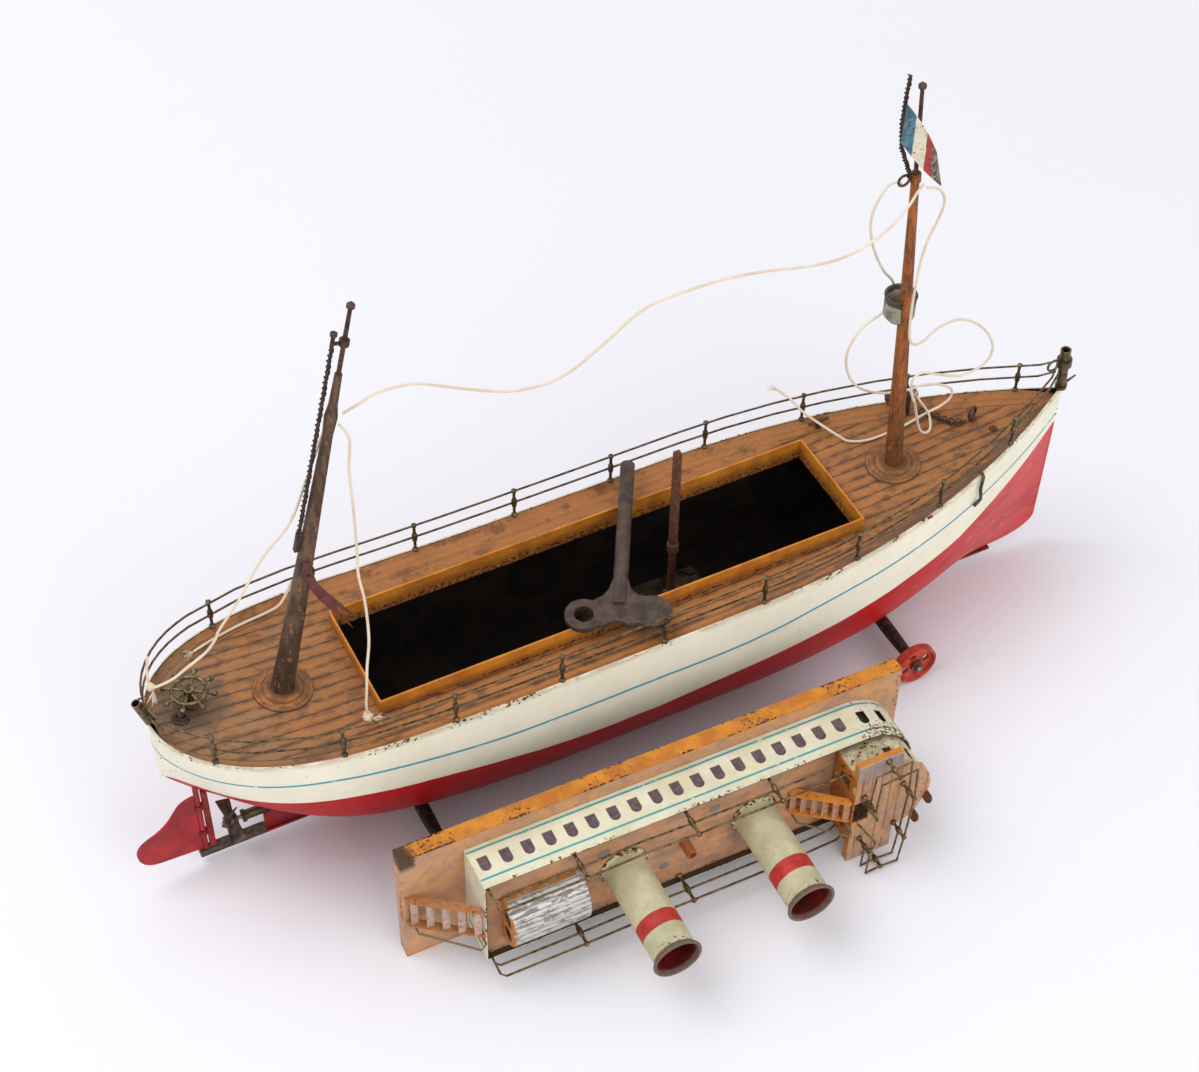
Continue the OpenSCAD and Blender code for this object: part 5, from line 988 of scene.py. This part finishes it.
# A dark sheet inside the cabin's round end: painted shade, seen through the openings there
SHADE_SHEET_R = 39.4
SHADE_SHEET_AFT = 296.0
SHADE_SHEET_LOW, SHADE_SHEET_TOP = 12.6, 38.0
SHADE_SHEET_T = 0.6
SHADE_SHEET_STEPS = 49


def house_point(along, across, up):
    """A point of the upper works' own frame, in metres in the part's frame."""
    x, y, z = HOUSE_START
    cos, sin = math.cos(HOUSE_YAW), math.sin(HOUSE_YAW)
    return ((x + along * cos + up * sin) * MM, (y + along * sin - up * cos) * MM, (z + across) * MM)


def add_painted_shade_sheet():
    """A dark sheet of painted shade inside the cabin's round end, which shows through the openings there."""
    outline = [(SHADE_SHEET_AFT, 1.0, 0.0)]
    outline += [(NOSE, math.cos(a), math.sin(a)) for a in np.linspace(0, math.pi, SHADE_SHEET_STEPS)]
    outline += [(SHADE_SHEET_AFT, -1.0, 0.0)]
    points = []
    for along, side, ahead in outline:
        for reach in (SHADE_SHEET_R, SHADE_SHEET_R - SHADE_SHEET_T):
            for up in (SHADE_SHEET_LOW, SHADE_SHEET_TOP):
                points.append(house_point(along + reach * ahead, reach * side, up))
    faces = []
    for i in range(len(outline) - 1):
        a, b = 4 * i, 4 * i + 4
        faces += [(a, a + 1, b + 1, b), (a + 3, a + 2, b + 2, b + 3),
                  (a + 1, a + 3, b + 3, b + 1), (a + 2, a, b, b + 2)]
    last = 4 * (len(outline) - 1)
    faces += [(0, 2, 3, 1), (last, last + 1, last + 3, last + 2)]
    painted_shade_sheet = add_mesh("cabin_painted_shade_sheet", points, faces)
    # Near-black material: painted shade
    s = Shader("painted_shade_sheet_dark")
    tone = s.blotch((30, 23, 20), (52, 40, 34), 6, 5)
    painted_shade_sheet.data.materials.append(s.done(tone, 0.8, 0.0, s.normal(s.noise(3, 4), 0.1), specular=0.2))
    painted_shade_sheet.data.set_sharp_from_angle(angle=math.radians(40))
    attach(painted_shade_sheet, "upper_works")


# ---- wires wound round the stays

FLAG_WIRE_ROUTE = [
    [185.2, -0.6, 405], [182.4, -2, 413], [177, -4, 425], [172, -5, 437], [169.8, -5.2, 455],
    [170.2, -5.2, 473], [171.4, -5.2, 491],
]
AFT_STAY_ROUTE = [[-203.9, 0, 420], [-214.8, 0, 372.8], [-225.8, 0, 325.5], [-236.7, 0, 278.3]]


def wound_wire(name, route, pitch, offset_mm, thick_mm, material):
    """Two thin wires wound round a stay, as the photo shows them."""
    path, along = even_path(np.array(route, float) * MM)
    first, second = path_frames(path)
    parts = []
    for start in (0.0, math.pi):
        turn = 2 * math.pi * along / (pitch * MM) + start
        reach = offset_mm * MM * (1 + 0.2 * np.sin(along * 400 + start))
        coil = path + (reach * np.cos(turn))[:, None] * first + (reach * np.sin(turn))[:, None] * second
        parts.append(sweep(coil, lambda length, angle: thick_mm * MM, 8))
    piece = join_parts(name, parts)
    piece.data.materials.append(material)
    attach(piece, "ship")


# ---- stage and light

FLOOR_HALF = 6.0
FLOOR_WHITE_FROM = 1250
LIGHT_BEHIND = 0.8


def add_stage():
    corners = [(x * FLOOR_HALF, y * FLOOR_HALF, GROUND) for x, y in ((-1, -1), (1, -1), (1, 1), (-1, 1))]
    floor = add_mesh("floor", corners, [(0, 1, 2, 3)], False)
    s = Shader("floor_cloth")
    fade = s.mul(s.over(s.reach(s.x, s.y), FLOOR_WHITE_FROM, 1300), s.seen())
    bumps = s.normal(s.noise(260, 3, 0.5), 6, 0.5)
    floor.data.materials.append(s.done((231, 231, 238), 0.9, 0, bumps, specular=0.1, fade=fade))
    world = bpy.data.worlds.new("studio")
    bpy.context.scene.world = world
    w = Tree(world)
    light = {"Color": (255, 255, 255), "Strength": w.fit(w.seen(), LIGHT_BEHIND, 1)}
    w.node("ShaderNodeOutputWorld", {0: w.node("ShaderNodeBackground", light).outputs[0]})


def add_lamp(name, place, target, width, watts):
    data = bpy.data.lights.new(name, "AREA")
    data.size = width
    data.energy = watts
    lamp = add_object(name, data)
    lamp.location = place
    lamp.rotation_euler = (Vector(target) - Vector(place)).to_track_quat("-Z", "Y").to_euler()


def paint(material, *names):
    """Gives these CAD nodes the material, in their own object's slots."""
    for name in names:
        obj = nodes[name]
        if not obj.material_slots:
            obj.data.materials.append(material)
        for slot in obj.material_slots:
            slot.link = "OBJECT"
            slot.material = material


# ---- the scene

add_camera()
cotton = yarn_cotton()
twine("twine_stern", STERN_ROUTE, cotton, knots=[((-341.5, 12, 174.4), 2.6, 2.5)],
      ends=[((-341, 9, 173), (-0.4, -1, -0.6))])
twine("twine_span", SPAN_ROUTE, cotton)
twine("twine_drop", DROP_ROUTE, cotton,
      knots=[((-221, -50, 147), 3.0, 2.6)], ends=[((-219, -52, 146), (1, -0.3, -0.2))])
twine("twine_port", PORT_ROUTE, cotton, ends=[((-302, 50.4, 146.6), (-1, -0.3, 0))])
twine("twine_fore_loops", FORE_LOOP_ROUTE, cotton,
      ends=[((149.5, 70, 175.5), (-0.8, 0.4, 0.5))])
twine("twine_fore_drop", FORE_DROP_ROUTE, cotton,
      ends=[((236, 20.5, 174), (-0.4, 0, 1))])

add_hull()
# Dark sheet of painted shade behind the cabin's end windows
add_painted_shade_sheet()
paint(keel_paint(), "keel")
paint(planked(), "main_deck")
paint(flange_paint(), "mast_flanges")
paint(coaming_paint(), "hatch_coaming")
paint(metal("rail_bronze", BRONZE, (66, 56, 43), rust=0.15, rough=0.42, size=4),
      "rail_posts", "rail_wires", "stern_socket", "bow_socket")
paint(metal("house_rail_bronze", (138, 112, 74), (72, 60, 44), rust=0.12, rough=0.4, size=4),
      "house_rail_posts", "house_rail_wires")
paint(metal("helm_bronze", (136, 118, 80), (72, 64, 48), rust=0.12, rough=0.4, size=4),
      "steering_wheel")
paint(mast_metal("aft_mast_rust", (108, 82, 62), (74, 58, 46), (58, 46, 38), 230.0), "aft_mast")
paint(mast_metal("fore_mast_rust", (168, 98, 46), (120, 72, 38), (104, 66, 42), 240.0), "fore_mast")
paint(metal("old_iron", (70, 62, 56), (38, 33, 30), rust=0.5, rough=0.55, metallic=0.6),
      "masthead_rods", "mast_stays", "deck_fittings", "anchor_chain", "windlass")
paint(metal("screw_bronze", (98, 84, 72), (56, 46, 40), rust=0.2, rough=0.5, metallic=0.6), "propeller")
paint(metal("axle_iron", (58, 48, 46), (34, 28, 27), rust=0.35, rough=0.5, metallic=0.5), "axle_tubes")
wire = metal("wound_wire_iron", (50, 44, 40), (26, 22, 20), rust=0.3, rough=0.55, metallic=0.5, size=2)
wound_wire("flag_wire_strands", FLAG_WIRE_ROUTE, 6.5, 1.15, 0.5, wire)
wound_wire("aft_stay_strands", AFT_STAY_ROUTE, 8.0, 1.2, 0.5, wire)
paint(pennant_paint(), "pennant")
paint(flag_paint(), "flag")
paint(nest_paint(), "crows_nest")
paint(metal("clock_brass", (92, 78, 56), (50, 42, 34), rust=0.3, rough=0.5, size=12,
            rust_tone=(60, 44, 32)),
      "lower_plate", "upper_plate", "frame_pillars", "stern_tube", "contrate_wheel", "second_wheel",
      "great_wheel", "spring_barrel")
paint(metal("bright_steel", (128, 124, 118), (86, 80, 76), rust=0.3, rough=0.38),
      "propeller_shaft", "winding_arbor", "click", "fore_axle", "aft_axle")
paint(stock_paint(), "rudder_stock")
paint(metal("rod_rust", (112, 66, 42), (72, 44, 32), rust=0.55, rough=0.6, metallic=0.25, size=3),
      "winding_rod")
paint(metal("key_iron", (82, 65, 54), (50, 40, 34), rust=0.28, rough=0.55, metallic=0.3, size=9,
            rust_tone=(104, 66, 46)), "key")
paint(wheel_paint(), "fore_wheels", "aft_wheels")
paint(rudder_paint(), "rudder")
paint(base_paint(), "house_base")
paint(cabin_paint(), "cabin")
paint(roof_paint(), "boat_deck")
paint(stair_paint("aft_stair_paint", 12.7, 15.2, (178, 118, 70), (206, 178, 162)), "aft_stair")
paint(stair_paint("fore_stair_paint", 8.7, 11.2, (226, 142, 48), (200, 148, 112)), "fore_stair")
paint(skylight_paint(), "skylight")
paint(funnel_paint("aft_funnel_paint", 145.0), "aft_funnel")
paint(funnel_paint("fore_funnel_paint", 243.0), "fore_funnel")
paint(bridge_paint(), "bridge_house")
paint(bridge_deck_paint(), "bridge_deck")

add_stage()
add_lamp("key_light", (-1.2, 0.4, 2.6), (0, 0, 0.05), 1.8, 34)
add_lamp("fill_light", (0.3, -2.3, 1.1), (0, -0.05, 0.05), 1.6, 18)
bpy.context.scene.view_settings.view_transform = "Standard"
